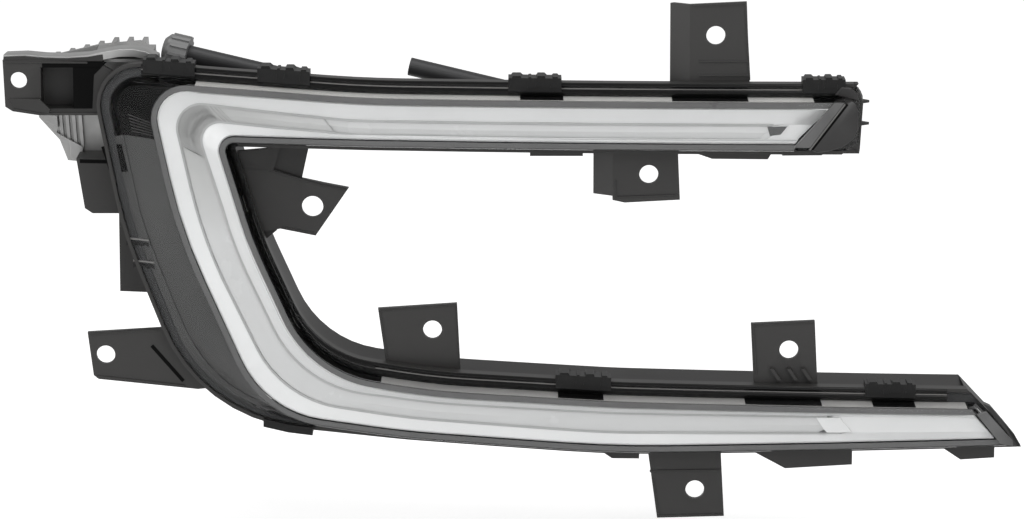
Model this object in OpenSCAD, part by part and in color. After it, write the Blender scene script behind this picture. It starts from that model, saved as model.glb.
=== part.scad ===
// Daytime running light for the left corner of a front bumper.
// A C-shaped lamp: a black moulded housing with eight fixing lugs, a clear
// outer lens, a bright reflector and one light guide fed from the upper corner.
// X runs to the right and Z up as the lamp is seen from in front, and the front
// faces -Y. The origin is the fixing hole of the lug in the middle of the lower arm.

/* [Outline] */
// Length of the upper arm, from the corner to its slanted end
upper_arm = 258; // [235:1:275]
// Length of the lower arm, from the corner to its slanted tip
lower_arm = 278; // [255:1:290]
// Height from the lower arm to the upper arm at the corner
bar_height = 124; // [118:1:132]
// Width of the bright band on the upper arm
upper_band = 14.2; // [12.5:0.1:16]
// Width of the bright band on the lower arm
lower_band = 15.4; // [13.5:0.1:17]
// How far the left end is swept back behind the right end
sweep_back = 45; // [30:1:55]

/* [Lens] */
// Depth of the clear lens in front of the flange
lens_depth = 15; // [12:0.5:18]
// Wall of the clear lens
lens_wall = 2.4; // [2:0.1:3]
// Clear edge of the lens outside the bright band
lens_margin = 2.3; // [1.8:0.1:3]
// Width of the sloping clear side at the left
side_window = 19.2; // [15:0.2:22]
// Height of the crown across the lens
lens_crown = 0.8; // [0:0.1:1.5]

/* [Housing] */
// Depth of the housing behind the flange
housing_depth = 30; // [26:1:36]
// Wall of the housing
housing_wall = 2.5; // [2:0.1:3]
// Thickness of the flange
flange_t = 3; // [2.5:0.1:4]
// Width of the flange along the top of both arms
flange_w = 5.2; // [4.4:0.1:6.5]
// Width of the flange along the underside of both arms
under_flange_w = 3; // [2.8:0.1:4]
// Width of the flange on the mouth side of the bar
bar_flange_w = 2.9; // [2.8:0.1:4]
// Height of the lip that surrounds the foot of the lens
lip_h = 2.6; // [2:0.1:3.2]
// Width of that lip
lip_w = 1.4; // [1:0.1:1.8]

/* [Fixing lugs] */
// Fixing hole of six of the lugs
lug_hole_d = 7.2; // [5:0.1:9]
// Fixing hole of the locating lug in the mouth
locating_hole_d = 8.2; // [6:0.1:10]
// Fixing hole of the lug at the upper left
corner_hole_d = 6.4; // [5:0.1:8]
// Thickness of the lug plates
lug_t = 2.5; // [2:0.1:3.5]
// Height of the stiffening flange along the edge of a lug
lug_rib = 7; // [4:0.5:9]

/* [Light unit] */
// Thickness of the reflector
reflector_t = 1.6; // [1.2:0.1:2]
// Depth of the bright channel in which the light guide lies
channel_depth = 3; // [2.6:0.1:3.4]
// Thickness of the light guide
guide_t = 3.1; // [2.6:0.1:3.3]
// Number of fins on the heat sink
fin_count = 14; // [8:1:16]
// Thickness of a heat sink fin
fin_t = 1.8; // [1.2:0.1:2.4]

/* [Hidden] */
$fn = 48;

// Gap between pieces that seat on each other, and the hairline between the
// lamp body and the lugs that are moulded on it
seat_gap = 0.1;
hairline = 0.05;
seal_t = 0.8;
foot_t = 1.6;

// Arc steps at each corner of an outline, and where the stations of each straight
// stretch lie along it. The channel of the light guide ends at 0.1 and 0.55.
arc_steps = [0, 3, 8, 3, 8, 3, 3, 0];
straight_at = [
    [0.085, 0.1, 0.25, 0.5, 0.75], [0.5], [0.3, 0.65], [0.5], [], [0.5], [0.25, 0.5, 0.55, 0.565, 0.78]
];

total_length = 386;
right_end = 224;
// Where the corners and the foot of the bar lie
corner_x = -107;
lower_corner_x = -64;
bar_foot_z = -32.9;
upper_end = corner_x + upper_arm;
lower_end = lower_corner_x + lower_arm;
top_z = bar_foot_z + bar_height;
low_z = -36.1;
// How an end point slides along the slanted end of its arm when its outline is moved outwards
upper_slide = [0.986, 1];
lower_slide = [0.93, -1];

// Outlines are corner lists [x, z, radius], from the end of the upper arm
// round the bar to the tip of the lower arm
band_outer = [
    [upper_end, top_z], [-25, top_z - 1.2, 500], [corner_x - 0.2, top_z + 2.8, 11.5],
    [-95.4, 39.1, 200], [lower_corner_x, -30.3, 38], [-10, low_z, 400], [70, low_z - 3.6, 500],
    [lower_end, low_z + 1]
];
band_inner = [
    [upper_end - 14, top_z - upper_band], [-25, top_z - upper_band - 1.1, 500],
    [-82, top_z - upper_band - 1.1, 5.5], [-69.2, 33.7, 150],
    [-46.5, low_z + lower_band + 4.9, 44], [0, low_z + lower_band - 1, 300],
    [70, low_z + lower_band - 3.5, 500], [lower_end - 9, low_z + lower_band - 4.7]
];
// How the clear side widens round the left of the lamp
window_run = side_window * [
    [0, 0], [0, 0], [-1, 0.16], [-1, -0.1], [-1.17, -0.14], [0, 0], [0, 0], [0, 0]
];
window_radius = [0, 500, 12, 150, 56, 400, 500, 0];
lens_foot_outer = let (c = moved(band_outer, lens_margin * [1, 1, 0, 0, 1, 1, 1]))
    [
        for (j = [0:7])
            j > 1 && j < 5
            ? [
                band_outer[j][0] + window_run[j][0],
                band_outer[j][1] + window_run[j][1],
                window_radius[j]
            ]
            : c[j]
    ];
lens_foot_inner = moved(band_inner, -lens_margin * [1, 1, 1, 1, 1, 1, 1]);
flange_outer = moved(
    lens_foot_outer,
    [
        flange_w, flange_w, flange_w - 0.6, flange_w - 0.6,
        under_flange_w, under_flange_w, under_flange_w
    ]
);
flange_inner = moved(
    lens_foot_inner,
    -[under_flange_w, under_flange_w, bar_flange_w, bar_flange_w, flange_w, flange_w, flange_w]
);
stations = len(rail(band_outer)) + 4;

// Sweep of the whole lamp, back towards the left. It is zero where the plate
// of the lug at the origin seats behind the flange.
origin_lug_left = -20.8;
function sweep(x) = sweep_back * pow((right_end - x) / total_length, 2);
function bow(x) = sweep(x) - sweep(origin_lug_left) - flange_t - hairline;

function unit(v) = v / norm(v);
function flat(p) = [p[0], p[1]];
function mix(a, b, t) = a + (b - a) * t;
function all_round(d) = [for (j = [0:6]) d];
// Direction away from the mouth of the C for a stretch of outline
function outward(c, j) = let (d = unit(flat(c[j + 1]) - flat(c[j]))) [d[1], -d[0]];

// Outline moved outwards by one distance for each stretch
function moved(c, dist) = [
    for (j = [0:7])
        j == 0
        ? flat(c[0]) + dist[0] * upper_slide
        : j == 7
        ? flat(c[7]) + dist[6] * lower_slide
        : let (
            n1 = outward(c, j - 1),
            n2 = outward(c, j),
            d1 = dist[j - 1],
            d2 = dist[j],
            k = n1 * n2,
            same = abs(d1 - d2) < 0.001,
            a = same ? d1 / (1 + k) : (d1 - k * d2) / (1 - k * k),
            b = same ? d1 / (1 + k) : (d2 - k * d1) / (1 - k * k),
            p = flat(c[j]) + a * n1 + b * n2
        )
        [p[0], p[1], max(0.8, c[j][2] + (d1 + d2) / 2)]
];

// Points of the round at corner j, or the end point itself
function corner_points(c, j) =
    j == 0 || j == 7
    ? [flat(c[j])]
    : let (
        u = unit(flat(c[j - 1]) - flat(c[j])),
        v = unit(flat(c[j + 1]) - flat(c[j])),
        half = acos(u * v) / 2,
        r = c[j][2],
        centre = flat(c[j]) + unit(u + v) * r / sin(half),
        start = flat(c[j]) + u * r / tan(half),
        e0 = unit(start - centre),
        e1 = unit(-u - e0 * (-u * e0)),
        turn = 180 - 2 * half
    )
    [
        for (k = [0:arc_steps[j]])
            let (a = turn * k / arc_steps[j])
            centre + r * (cos(a) * e0 + sin(a) * e1)
    ];

// The whole outline as points, the same number on every outline
function rail(c) = [
    for (j = [0:7])
        each concat(
            corner_points(c, j),
            j == 7
            ? []
            : let (
                from = corner_points(c, j)[j == 0 ? 0 : arc_steps[j]],
                to = corner_points(c, j + 1)[0]
            )
            [for (f = straight_at[j]) mix(from, to, f)]
        )
];

// A rail with three rings at each end. up and low are how far they lie past the end.
function with_ends(r, up, low) =
    let (n = len(r), e = unit(r[0] - r[1]), f = unit(r[n - 1] - r[n - 2]))
    concat(
        [for (k = [0:2]) r[0] + e * up[k]],
        [for (i = [1:n - 2]) r[i]],
        [for (k = [2:-1:0]) r[n - 1] + f * low[k]]
    );
// Runs of the three rings: the edge, where the wall starts, and where it reaches full depth
function to_x(r, x, foot, top) = [x - r[0][0], foot, top];
function runs(edge, foot, top) = [edge, foot, top];

// Depth for each station: the given depth, shut to a level at both ends
function closed(depth, level) = [
    for (i = [0:stations - 1]) i < 2 || i > stations - 3 ? level : depth
];
// Rail between the two edges of the band, a share t of the way in, given for each corner
function between(t) =
    let (a = rail(band_outer), b = rail(band_inner), s = corner_shares(t))
    [for (i = [0:len(a) - 1]) mix(a[i], b[i], s[i])];
// One value for each station from one for each corner
function corner_shares(t) = [
    for (j = [0:7])
        each concat(
            [for (k = [0:arc_steps[j]]) t[j]],
            j == 7 ? [] : [for (f = straight_at[j]) mix(t[j], t[j + 1], f)]
        )
];

// Sheet between a front and a back row of rails. Each row is a list of [rail, depth],
// where depth is one number, or one for each station. A loop closes on itself.
module sheet(front, back, loop = false) {
    m = len(front);
    n = len(front[0][0]);
    rows = concat(front, [for (k = [m - 1:-1:0]) back[k]]);
    w = 2 * m;
    points = [
        for (i = [0:n - 1], row = rows)
            let (p = row[0][i], d = is_list(row[1]) ? row[1][i] : row[1])
            [p[0], bow(p[0]) + d, p[1]]
    ];
    sides = [
        for (i = [0:loop ? n - 1 : n - 2], k = [0:w - 1])
            let (
                next = ((i + 1) % n) * w,
                a = i * w + k,
                b = i * w + (k + 1) % w,
                c = next + k,
                d = next + (k + 1) % w
            )
            each [[a, b, d], [a, d, c]]
    ];
    caps = loop ? [] : [
        for (end = [0, (n - 1) * w], k = [0:m - 2])
            let (
                quad = [end + k, end + k + 1, end + w - 2 - k, end + w - 1 - k],
                p = [for (q = quad) points[q]],
                even = cross(p[1] - p[0], p[2] - p[0]) * cross(p[2] - p[0], p[3] - p[0]) > 0,
                pair = even ? [[0, 2, 1], [0, 3, 2]] : [[0, 3, 1], [1, 3, 2]]
            )
            for (f = pair) end == 0 ? [for (q = f) quad[q]] : [for (q = [2, 1, 0]) quad[f[q]]]
    ];
    polyhedron(points = points, faces = concat(sides, caps), convexity = 12);
}
function part_of(r, from, to) = [for (i = [from:to]) r[i]];
function reversed(r) = [for (k = [len(r) - 1:-1:0]) r[k]];
// Number of the first station of corner j in a rail
function first_of(j) = j == 0 ? 0 : first_of(j - 1) + arc_steps[j - 1] + 1 + len(straight_at[j - 1]);
// Point of a rail at x, on the upper arm or on the lower one
function at_x(r, x, upper) =
    let (
        hits = [
            for (i = [0:len(r) - 2])
                if ((r[i][0] - x) * (r[i + 1][0] - x) <= 0 && r[i][0] != r[i + 1][0])
                    mix(r[i], r[i + 1], (x - r[i][0]) / (r[i + 1][0] - r[i][0]))
        ]
    )
    hits[upper ? 0 : len(hits) - 1];

// Flat plate facing the front, with its front face at depth y
module plate(y, t) {
    translate([0, y + t, 0]) rotate([90, 0, 0]) linear_extrude(t) children();
}
// Round bar along Y from depth y
module pin(x, y, z, d, l) {
    translate([x, y, z]) rotate([-90, 0, 0]) cylinder(d = d, h = l);
}

// Values that the housing and its neighbours share
wall_inset = -0.8;
wall_out = wall_inset + housing_wall;
wall_straight = housing_depth * 0.6;
floor_front = housing_depth - housing_wall;
bar_bulge = 5;
taper = [-2, -2, bar_bulge, bar_bulge, -2, -2, -2];
mouth_taper = [-2, -2, -1, -1, -2, -2, -2];
flange_end_x = upper_end + 11;
wall_top_run = 3.1;
tip_run = 4.5;

// Trough with a flange: the lip, the seat of the lens, then walls and floor
module body_shell() {
    function o_row(d, x, s) = let (r = rail(moved(lens_foot_outer, d)))
        with_ends(r, to_x(r, x, s, s - 0.3), runs(tip_run, s, s - 0.3));
    function i_row(d, x, s) = let (r = rail(moved(lens_foot_inner, -d)))
        with_ends(r, to_x(r, x, s, s - 0.3), runs(tip_run, s, s - 0.3));
    function edge_row(c, x) = let (r = rail(c))
        with_ends(r, to_x(r, x, 1.6, 1.3), runs(tip_run, 1.6, 1.3));
    shut = wall_top_run;
    in_shut = shut - housing_wall;
    x = flange_end_x;
    edge_o = edge_row(flange_outer, x - 4);
    lip_o = edge_row(moved(flange_outer, all_round(-lip_w)), x - 2.4);
    edge_i = edge_row(flange_inner, x - 8);
    lip_i = edge_row(moved(flange_inner, all_round(lip_w)), x - 6);
    in_d = all_round(wall_inset);
    out_d = all_round(wall_out);
    sheet(
        [
            [edge_o, -lip_h],
            [lip_o, -lip_h],
            [lip_o, 0],
            [o_row(in_d, x - 0.6, in_shut), 0],
            [o_row(in_d, x - 0.6, in_shut), closed(wall_straight, 0.3)],
            [o_row(in_d + taper, x, in_shut), closed(floor_front, 0.3)],
            [i_row(in_d - mouth_taper, x - 1, in_shut), closed(floor_front, 0.3)],
            [i_row(in_d, x - 3, in_shut), closed(wall_straight, 0.3)],
            [i_row(in_d, x - 3, in_shut), 0],
            [lip_i, 0],
            [lip_i, -lip_h],
            [edge_i, -lip_h]
        ],
        [
            [edge_o, flange_t],
            [edge_row(moved(flange_outer, all_round(0.4 - lip_w)), x - 2.8), flange_t],
            [o_row(out_d, x - 0.8, shut), flange_t],
            [o_row(out_d, x - 0.8, shut), flange_t + 0.4],
            [o_row(out_d, x - 0.8, shut), closed(wall_straight, flange_t + 0.6)],
            [o_row(out_d + taper, x, shut), closed(housing_depth, flange_t + 0.8)],
            [i_row(out_d - mouth_taper, x - 1, shut), closed(housing_depth, flange_t + 0.8)],
            [i_row(out_d, x - 3.5, shut), closed(wall_straight, flange_t + 0.6)],
            [i_row(out_d, x - 3.5, shut), flange_t + 0.4],
            [i_row(out_d, x - 3.5, shut), flange_t],
            [edge_row(moved(flange_inner, all_round(lip_w - 0.4)), x - 6.4), flange_t],
            [edge_i, flange_t]
        ]
    );
}

// Flat outline of the walls of the lamp body, grown by a clearance
module body_outline(grow, side) {
    o = rail(moved(lens_foot_outer, side + all_round(wall_out + grow)));
    i = rail(moved(lens_foot_inner, all_round(-wall_out - grow)));
    polygon(concat(o, [for (k = [len(i) - 1:-1:0]) i[k]]));
}

// Lug plate: an outline that runs into the lamp body, cut back from its wall,
// with the fixing hole through it. flange_x is where the lug meets the flange.
module lug(outline, hole, d, flange_x) {
    y = lug_y(flange_x);
    difference() {
        plate(y, lug_t) difference() {
            polygon(outline);
            body_outline(hairline, all_round(0));
        }
        pin(hole[0], y - 1, hole[1], d, lug_t + 2);
    }
}
function lug_y(flange_x) = bow(flange_x) + flange_t + hairline;

// Stiffening wing that slants back from the left edge of a lug
module wing(x, y, z0, z1) {
    translate([0, 0, z0])
        linear_extrude(z1 - z0)
            polygon([
                [x + 0.8, y], [x + 0.8, y + lug_t], [x, y + lug_t],
                [x - lug_rib * 0.8, y + lug_rib], [x - lug_rib * 0.8 - 1.6, y + lug_rib - 1.6], [x, y]
            ]);
}

// The eight lugs: outline, hole, hole diameter and where each meets the flange
arm_top = top_z + lens_margin + wall_out;
arm_under = top_z - upper_band - lens_margin - wall_out;
low_under = low_z - 3.6 - lens_margin - wall_out;
corner_lug = [
    [-164.5, top_z + 10], [-163.8, top_z - 8], [-161, top_z - 9.8], [-151, top_z - 11.3],
    [-110, top_z - 11.3], [-110, top_z - 1], [-128, top_z + 9], [-150, top_z + 10.2]
];
corner_hole = [-158.5, top_z + 2.2];
bar_lug = [
    [-133.3, -4.2], [-100, -2.2], [-85, -26], [-91, -26.6], [-129.3, -22.6], [-131.2, -21.1]
];
bar_hole = [-126.4, -13];
mouth_lug = [
    [-80, 67], [-61.5, 60.7], [-50.4, 57.2], [-40.8, 55.1], [-32, 53.4], [-44.8, 34.8],
    [-58.3, 37.5], [-66, 36], [-76, 38]
];
mouth_hole = [-45.9, 46.1];
mouth_lug_arm = [[-77.5, 67.5], [-58, 69.3], [-60.8, 60], [-76.5, 62]];
mouth_lug_tab = [[-62, 68.7], [-47.2, 69.2], [-50, 56.6], [-62, 57]];
mouth_lug_gusset = [[-68, 38.5], [-59.7, 38.5], [-59.7, 36.6], [-66.2, 31.2], [-67.5, 33]];
top_lug = [
    [97.1, top_z + 36], [118.4, top_z + 37], [120.2, top_z - 4], [97.1, top_z - 4]
];
top_hole = [106.9, top_z + 24.3];
under_lug = [
    [68.4, arm_under + 8], [92.6, arm_under + 8], [93.9, arm_under - 20.5],
    [73, arm_under - 21.6], [68.4, arm_under - 20.6]
];
under_hole = [82.1, arm_under - 10.8];
origin_lug = [[-20.8, 8.3], [9.4, 10.3], [11.2, -26], [-16, -26]];
right_lug = [[121, 5.5], [145.2, 6.6], [147, -28], [122.8, -28]];
right_hole = [135.5, -4.7];
low_lug = [[81, low_under + 8], [109.6, low_under + 8], [111.5, low_under - 26.6], [85.9, low_under - 27.3]];
low_hole = [100.3, low_under - 16.2];

module lugs() {
    corner_bracket();
    lug(bar_lug, bar_hole, lug_hole_d, -108);
    mouth_bracket();
    lug(origin_lug, [0, 0], lug_hole_d, origin_lug_left);
    right_bracket();
    top_bracket();
    under_bracket();
    lug(low_lug, low_hole, lug_hole_d, 81);
}

// Lug at the upper left, with an open pocket and a slot moulded behind it
module corner_bracket() {
    y = lug_y(-131.8);
    left = -152;
    low = top_z - 10.5;
    w = 20;
    h = 19.5;
    d = 12;
    wall = 1.8;
    left_wall = 2;
    pocket_w = 12.5;
    slot_w = 2.2;
    difference() {
        union() {
            plate(y, lug_t) difference() {
                polygon(corner_lug);
                body_outline(hairline, all_round(0));
            }
            translate([left, y, low]) cube([w, d, h]);
        }
        translate([left + left_wall, y - 1, low + wall]) cube([pocket_w, d - 1, h - 2 * wall]);
        translate([left + w - wall - slot_w, y - 1, low + wall]) cube([slot_w, d - 1, h - 2 * wall]);
        pin(corner_hole[0], y - 1, corner_hole[1], corner_hole_d, lug_t + 2);
    }
}

// Lug in the mouth, with the arm that carries it a step in front of it, and with
// its tab and its gusset a step behind
module mouth_bracket() {
    meets = -80;
    arm_step = 1.2;
    tab_step = 1.8;
    lug(mouth_lug, mouth_hole, locating_hole_d, meets);
    plate(lug_y(meets) - arm_step, lug_t) polygon(mouth_lug_arm);
    for (outline = [mouth_lug_tab, mouth_lug_gusset])
        plate(lug_y(meets) + tab_step, lug_t) polygon(outline);
}

// Lug with three slanted ribs on its front
module right_bracket() {
    meets = 121;
    rib_w = 1.5;
    rib_slant = 2.9;
    rib_h = 2.4;
    top = right_hole[1] - 6.9;
    low = top - 4.4;
    lug(right_lug, right_hole, lug_hole_d, meets);
    for (x = [128.2, 134.6, 140])
        plate(lug_y(meets) - rib_h, rib_h + 1)
            polygon([[x, top], [x + rib_w, top], [x + rib_w + rib_slant, low], [x + rib_slant, low]]);
}

module top_bracket() {
    meets = 90;
    lug(top_lug, top_hole, lug_hole_d, meets);
    wing(top_lug[0][0], lug_y(meets), arm_top + 2, top_lug[0][1]);
}

module under_bracket() {
    meets = 64;
    lug(under_lug, under_hole, lug_hole_d, meets);
    wing(under_lug[0][0], lug_y(meets), arm_under - 19, arm_under - 2);
}

// Snap tabs along the lower edges of both arms. Each is given by where it meets the
// flange and by its outline, as x and how far it hangs below the wall of its arm.
arm_tabs = [
    [37.2, [[37.2, 0.9], [37.2, 4.2], [57.2, 4.2], [57.2, 0.9]]],
    [97.5, [[96, 0.9], [105.8, 4.3], [126.8, 4.5], [129, 0.9]]],
    [131.3, [[131.3, -1.1], [132.1, 2.7], [147.1, 2.6], [147.1, -1.1]]]
];
low_tabs = [
    [64, [[62, -0.2], [68.6, 4.3], [79, 4.4], [79, -0.2]]],
    [125, [[121, -0.2], [134.5, 7.1], [160, 5.6], [160, -0.2]]],
    [198, [[194, -1.7], [201, 3], [213.9, 2.2], [213.9, -2.7]]]
];
module snap_tabs(tabs, wall_z) {
    for (t = tabs)
        plate(lug_y(t[0]), lug_t) difference() {
            polygon([for (p = t[1]) [p[0], wall_z - p[1]]]);
            body_outline(hairline, all_round(0));
        }
}
// Two tapered pegs on the end of the upper arm
module end_pegs() {
    base_d = 3.4;
    tip_d = 1;
    for (drop = [0.6, 9])
        translate([flange_end_x - 5.2, bow(flange_end_x) + 7.4, top_z - drop]) rotate([0, 90, 0])
            cylinder(d1 = base_d, d2 = tip_d, h = 8);
}

module housing() {
    color("#1d1d1f") {
        difference() {
            body_shell();
            sink_window();
            for (p = post_places) pin(p[0], bow(p[0]) + floor_front - 2, p[1], screw_d + 0.4, 10);
        }
        lugs();
        snap_tabs(arm_tabs, arm_under);
        snap_tabs(low_tabs, low_under);
        end_pegs();
        sink_collar();
        driver_bay();
        side_box();
        spigots();
    }
}

// Opening in the floor behind the corner, through which the heat sink reaches the lamp board
module sink_window() {
    translate([sink_x - sink_w / 2, bow(sink_x), sink_z - sink_h / 2])
        cube([sink_w, housing_depth + 20, sink_h]);
}

// Block that seats on the curved back of the lamp body and ends in a flat face
module seated(x0, x1, z0, z1, y_back) {
    steps = 8;
    translate([0, 0, z0])
        linear_extrude(z1 - z0)
            polygon(concat(
                [
                    for (k = [0:steps])
                        let (x = mix(x0, x1, k / steps))
                        [x, bow(max(x, flat_back_x)) + housing_depth + hairline]
                ],
                [[x1, y_back], [x0, y_back]]
            ));
}

// Collar round the window, with a boss for a screw at each corner
module sink_collar() {
    difference() {
        seated(
            sink_x - sink_w / 2 - collar_w, sink_x + sink_w / 2 + collar_w,
            sink_z - sink_h / 2 - collar_w, sink_z + sink_h / 2 + collar_w, sink_seat_y
        );
        translate([sink_x - sink_w / 2, 0, sink_z - sink_h / 2]) cube([sink_w, 100, sink_h]);
        for (p = sink_screws) pin(p[0], sink_seat_y - sink_hole_d, p[1], screw_d, sink_hole_d + 4);
    }
}

// Open box on the back of the bar for the driver board
module driver_bay() {
    w = bay_wall;
    difference() {
        seated(bay_x, bay_x + bay_w, bay_z, bay_z + bay_h, bay_back_y);
        translate([bay_x + w, bay_back_y - bay_d, bay_z + w]) cube([bay_w - 2 * w, bay_d + 1, bay_h - 2 * w]);
        for (p = bay_screws) pin(p[0], bay_back_y - bay_hole_d, p[1], screw_d, bay_hole_d + 3);
    }
    // Screw bosses and board posts, sunk half a millimetre into the floor of the bay
    floor_y = bay_back_y - bay_d - 0.5;
    for (p = bay_screws) difference() {
        pin(p[0], floor_y, p[1], bay_boss_d, bay_d + 0.5);
        pin(p[0], bay_back_y - bay_hole_d, p[1], screw_d, bay_hole_d + 3);
    }
    for (p = board_posts) pin(p[0], floor_y, p[1], board_post_d, board_post_h + 0.5);
}

// Closed box beside the bar, in front of the heat sink
module side_box() {
    left = -138;
    top = bay_top + 7;
    h = 21.5;
    d = 18;
    behind = 4;
    plate(bow(flat_back_x) + housing_depth + behind - d, d) difference() {
        polygon([
            [left, top], [left + 20, top], [left + 24, top - h], [left + 6, top - h], [left + 3, top - h + 2]
        ]);
        body_outline(hairline, taper);
    }
}

// Short pipes on the back of the upper arm for the two vent elbows
module spigots() {
    for (p = [vent_left, vent_middle])
        difference() {
            pin(p[0], bow(p[0] - 3) + housing_depth + hairline, p[1], spigot_d, spigot_h);
            pin(p[0], bow(p[0] - 3) + housing_depth + 1, p[1], spigot_d - 2, spigot_h);
        }
}

screw_d = 2.6;
post_d = 6.4;
post_at = [5, 9, first_of(3) + 1, first_of(4) + 1, first_of(5) + 2, first_of(6) + 2, first_of(6) + 6];
post_places = [for (i = post_at) centre_rail()[i]];

sink_x = -95;
sink_z = top_z - 16.1;
sink_w = 24;
sink_h = 21;
collar_w = 5.5;
// How far the heat sink hangs below the upper edge, and its gap to the driver bay
sink_drop = 36;
bay_gap = 1.1;
// Left of here the back of the lamp body is flat
flat_back_x = -124;
sink_seat_y = bow(flat_back_x) + housing_depth + 5;
sink_hole_d = 8;
sink_screws = [
    for (a = [-1, 1], b = [-1, 1])
        [sink_x + a * (sink_w / 2 + collar_w / 2), sink_z + b * (sink_h / 2 + collar_w / 2)]
];

bay_x = -123;
bay_w = 46;
bay_h = 48;
bay_top = top_z - sink_drop - bay_gap;
bay_z = bay_top - bay_h;
bay_d = 13;
bay_wall = 2.2;
bay_back_y = bow(flat_back_x) + housing_depth + 17;
bay_hole_d = 9;
bay_boss_d = 6.4;
// Four places in the bay, one near each corner
function in_bay(inset) = [
    for (a = [0, 1], b = [0, 1])
        [bay_x + inset + a * (bay_w - 2 * inset), bay_z + inset + b * (bay_h - 2 * inset)]
];
bay_screws = in_bay(4.4);
board_posts = in_bay(11);
board_post_d = 4.4;
board_post_h = 4;

spigot_d = 5;
spigot_h = 7;
vent_left = [-54, top_z - 0.6];
vent_middle = [36, top_z - 4.5];

// Clear cover: foot in the seat of the flange, sides, and a crowned face over the band
module outer_lens() {
    low = -seal_t;
    foot = low - foot_t;
    face = -lens_depth;
    inner = face + lens_wall;
    clear = lip_w + seat_gap;
    // How far the closed ends of the two arms run past the band, outside and inside
    upper_out = 3.2;
    lower_out = 0.6;
    x = flange_end_x;
    function row(r, x_end, upper, lower) =
        with_ends(r, to_x(r, x_end, upper, lower), runs(tip_run - 0.8, upper, lower));
    foot_o = rail(moved(flange_outer, all_round(-clear)));
    foot_i = rail(moved(flange_inner, all_round(clear)));
    base_o = rail(moved(lens_foot_outer, all_round(0.05)));
    base_i = rail(moved(lens_foot_inner, all_round(-0.05)));
    in_o = rail(moved(lens_foot_outer, all_round(0.06 - lens_wall)));
    in_i = rail(moved(lens_foot_inner, all_round(lens_wall - 0.06)));
    m = lens_margin;
    function a_rail(d) = rail(moved(band_outer, all_round(d)));
    function b_rail(d) = rail(moved(band_inner, all_round(-d)));
    upper_in = upper_out - lens_wall;
    lower_in = lower_out - 1.4;
    color("#e8eef2", 0.35) sheet(
        [
            [row(foot_o, x - 3, upper_out, lower_out), foot],
            [row(base_o, x - 2, upper_out, lower_out), foot],
            [row(a_rail(m), x - 1.6, upper_out, lower_out), closed(face + 1.5, foot)],
            [row(a_rail(m - 0.5), x - 1.4, upper_out, lower_out), closed(face + 0.4, foot)],
            [row(a_rail(m - 1.6), x - 1.2, upper_out, lower_out), closed(face, foot)],
            [row(centre_rail(), x - 1.1, upper_out, lower_out), closed(face - lens_crown, foot)],
            [row(b_rail(m - 1.6), x - 2, upper_out, lower_out), closed(face, foot)],
            [row(b_rail(m - 0.5), x - 2.5, upper_out, lower_out), closed(face + 0.4, foot)],
            [row(b_rail(m), x - 3, upper_out, lower_out), closed(face + 1.5, foot)],
            [row(base_i, x - 4, upper_out, lower_out), foot],
            [row(foot_i, x - 7.6, upper_out, lower_out), foot]
        ],
        [
            [row(foot_o, x - 3, upper_out, lower_out), low],
            [row(in_o, x - 2.2, upper_in + 0.1, lower_in + 0.1), low],
            [row(a_rail(m - lens_wall), x - 1.6, upper_in, lower_in), closed(inner + 0.9, low)],
            [row(a_rail(m - lens_wall - 0.3), x - 1.4, upper_in, lower_in), closed(inner + 0.2, low)],
            [row(a_rail(m - lens_wall - 1), x - 1.2, upper_in, lower_in), closed(inner, low)],
            [row(centre_rail(), x - 1.1, upper_in, lower_in), closed(inner - lens_crown, low)],
            [row(b_rail(m - lens_wall - 1), x - 2, upper_in, lower_in), closed(inner, low)],
            [row(b_rail(m - lens_wall - 0.3), x - 2.5, upper_in, lower_in), closed(inner + 0.2, low)],
            [row(b_rail(m - lens_wall), x - 3, upper_in, lower_in), closed(inner + 0.9, low)],
            [row(in_i, x - 4.3, upper_in + 0.1, lower_in + 0.1), low],
            [row(foot_i, x - 7.6, upper_out, lower_out), low]
        ]
    );
}
function centre_rail() = between([for (j = [0:7]) 0.5]);

// Bead between the foot of the lens and the flange, all the way round
module lens_seal() {
    clear = lip_w + 0.5;
    x = flange_end_x;
    function ring(o, i, xo, xi, s) = concat(
        with_ends(o, to_x(o, xo, s, s - 0.3), runs(tip_run - s * 0.3 - 0.4, s, s - 0.3)),
        reversed(with_ends(i, to_x(i, xi, s, s - 0.3), runs(tip_run - s * 0.3 - 0.4, s, s - 0.3)))
    );
    outer = ring(
        rail(moved(flange_outer, all_round(-clear))), rail(moved(flange_inner, all_round(clear))),
        x - 3.4, x - 8, 1.5
    );
    inner = ring(
        rail(moved(lens_foot_outer, all_round(-0.2))), rail(moved(lens_foot_inner, all_round(0.2))),
        x - 6.4, x - 10, 0.9
    );
    color("#2a2a2c") sheet(
        [[outer, -seal_t + 0.05], [inner, -seal_t + 0.05]],
        [[outer, -0.05], [inner, -0.05]],
        true
    );
}

// Gap between the lens and the lip of the reflector, and how far its flanks fall to the channel
lens_gap = 0.6;
flank_drop = 2.4;
// Depth of the lip of the reflector, of the edge of its channel and of the channel's floor
lip_depth = -lens_depth + lens_wall + lens_gap;
edge_depth = lip_depth + flank_drop;
floor_depth = edge_depth + channel_depth;
// Where the channel lies across the band at each corner: share of the way from the outer edge
channel_from = [0.49, 0.5, 0.32, 0.3, 0.34, 0.33, 0.31, 0.25];
channel_to = [0.9, 0.88, 0.7, 0.74, 0.76, 0.78, 0.8, 0.8];
function shares(list, d) = [for (t = list) t + d];
// Depth of the channel, which is filled up at the ends of both arms
function channel(depth, level) = [
    for (i = [0:stations - 1]) i < 4 || i > stations - 6 ? level : depth
];
inlets = [centre_of_channel(first_of(2) + 3), centre_of_channel(first_of(2) + 9)];
function channel_centre() = between([for (j = [0:7]) (channel_from[j] + channel_to[j]) / 2]);
function centre_of_channel(i) = channel_centre()[i];
inlet_d = 5.4;

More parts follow.
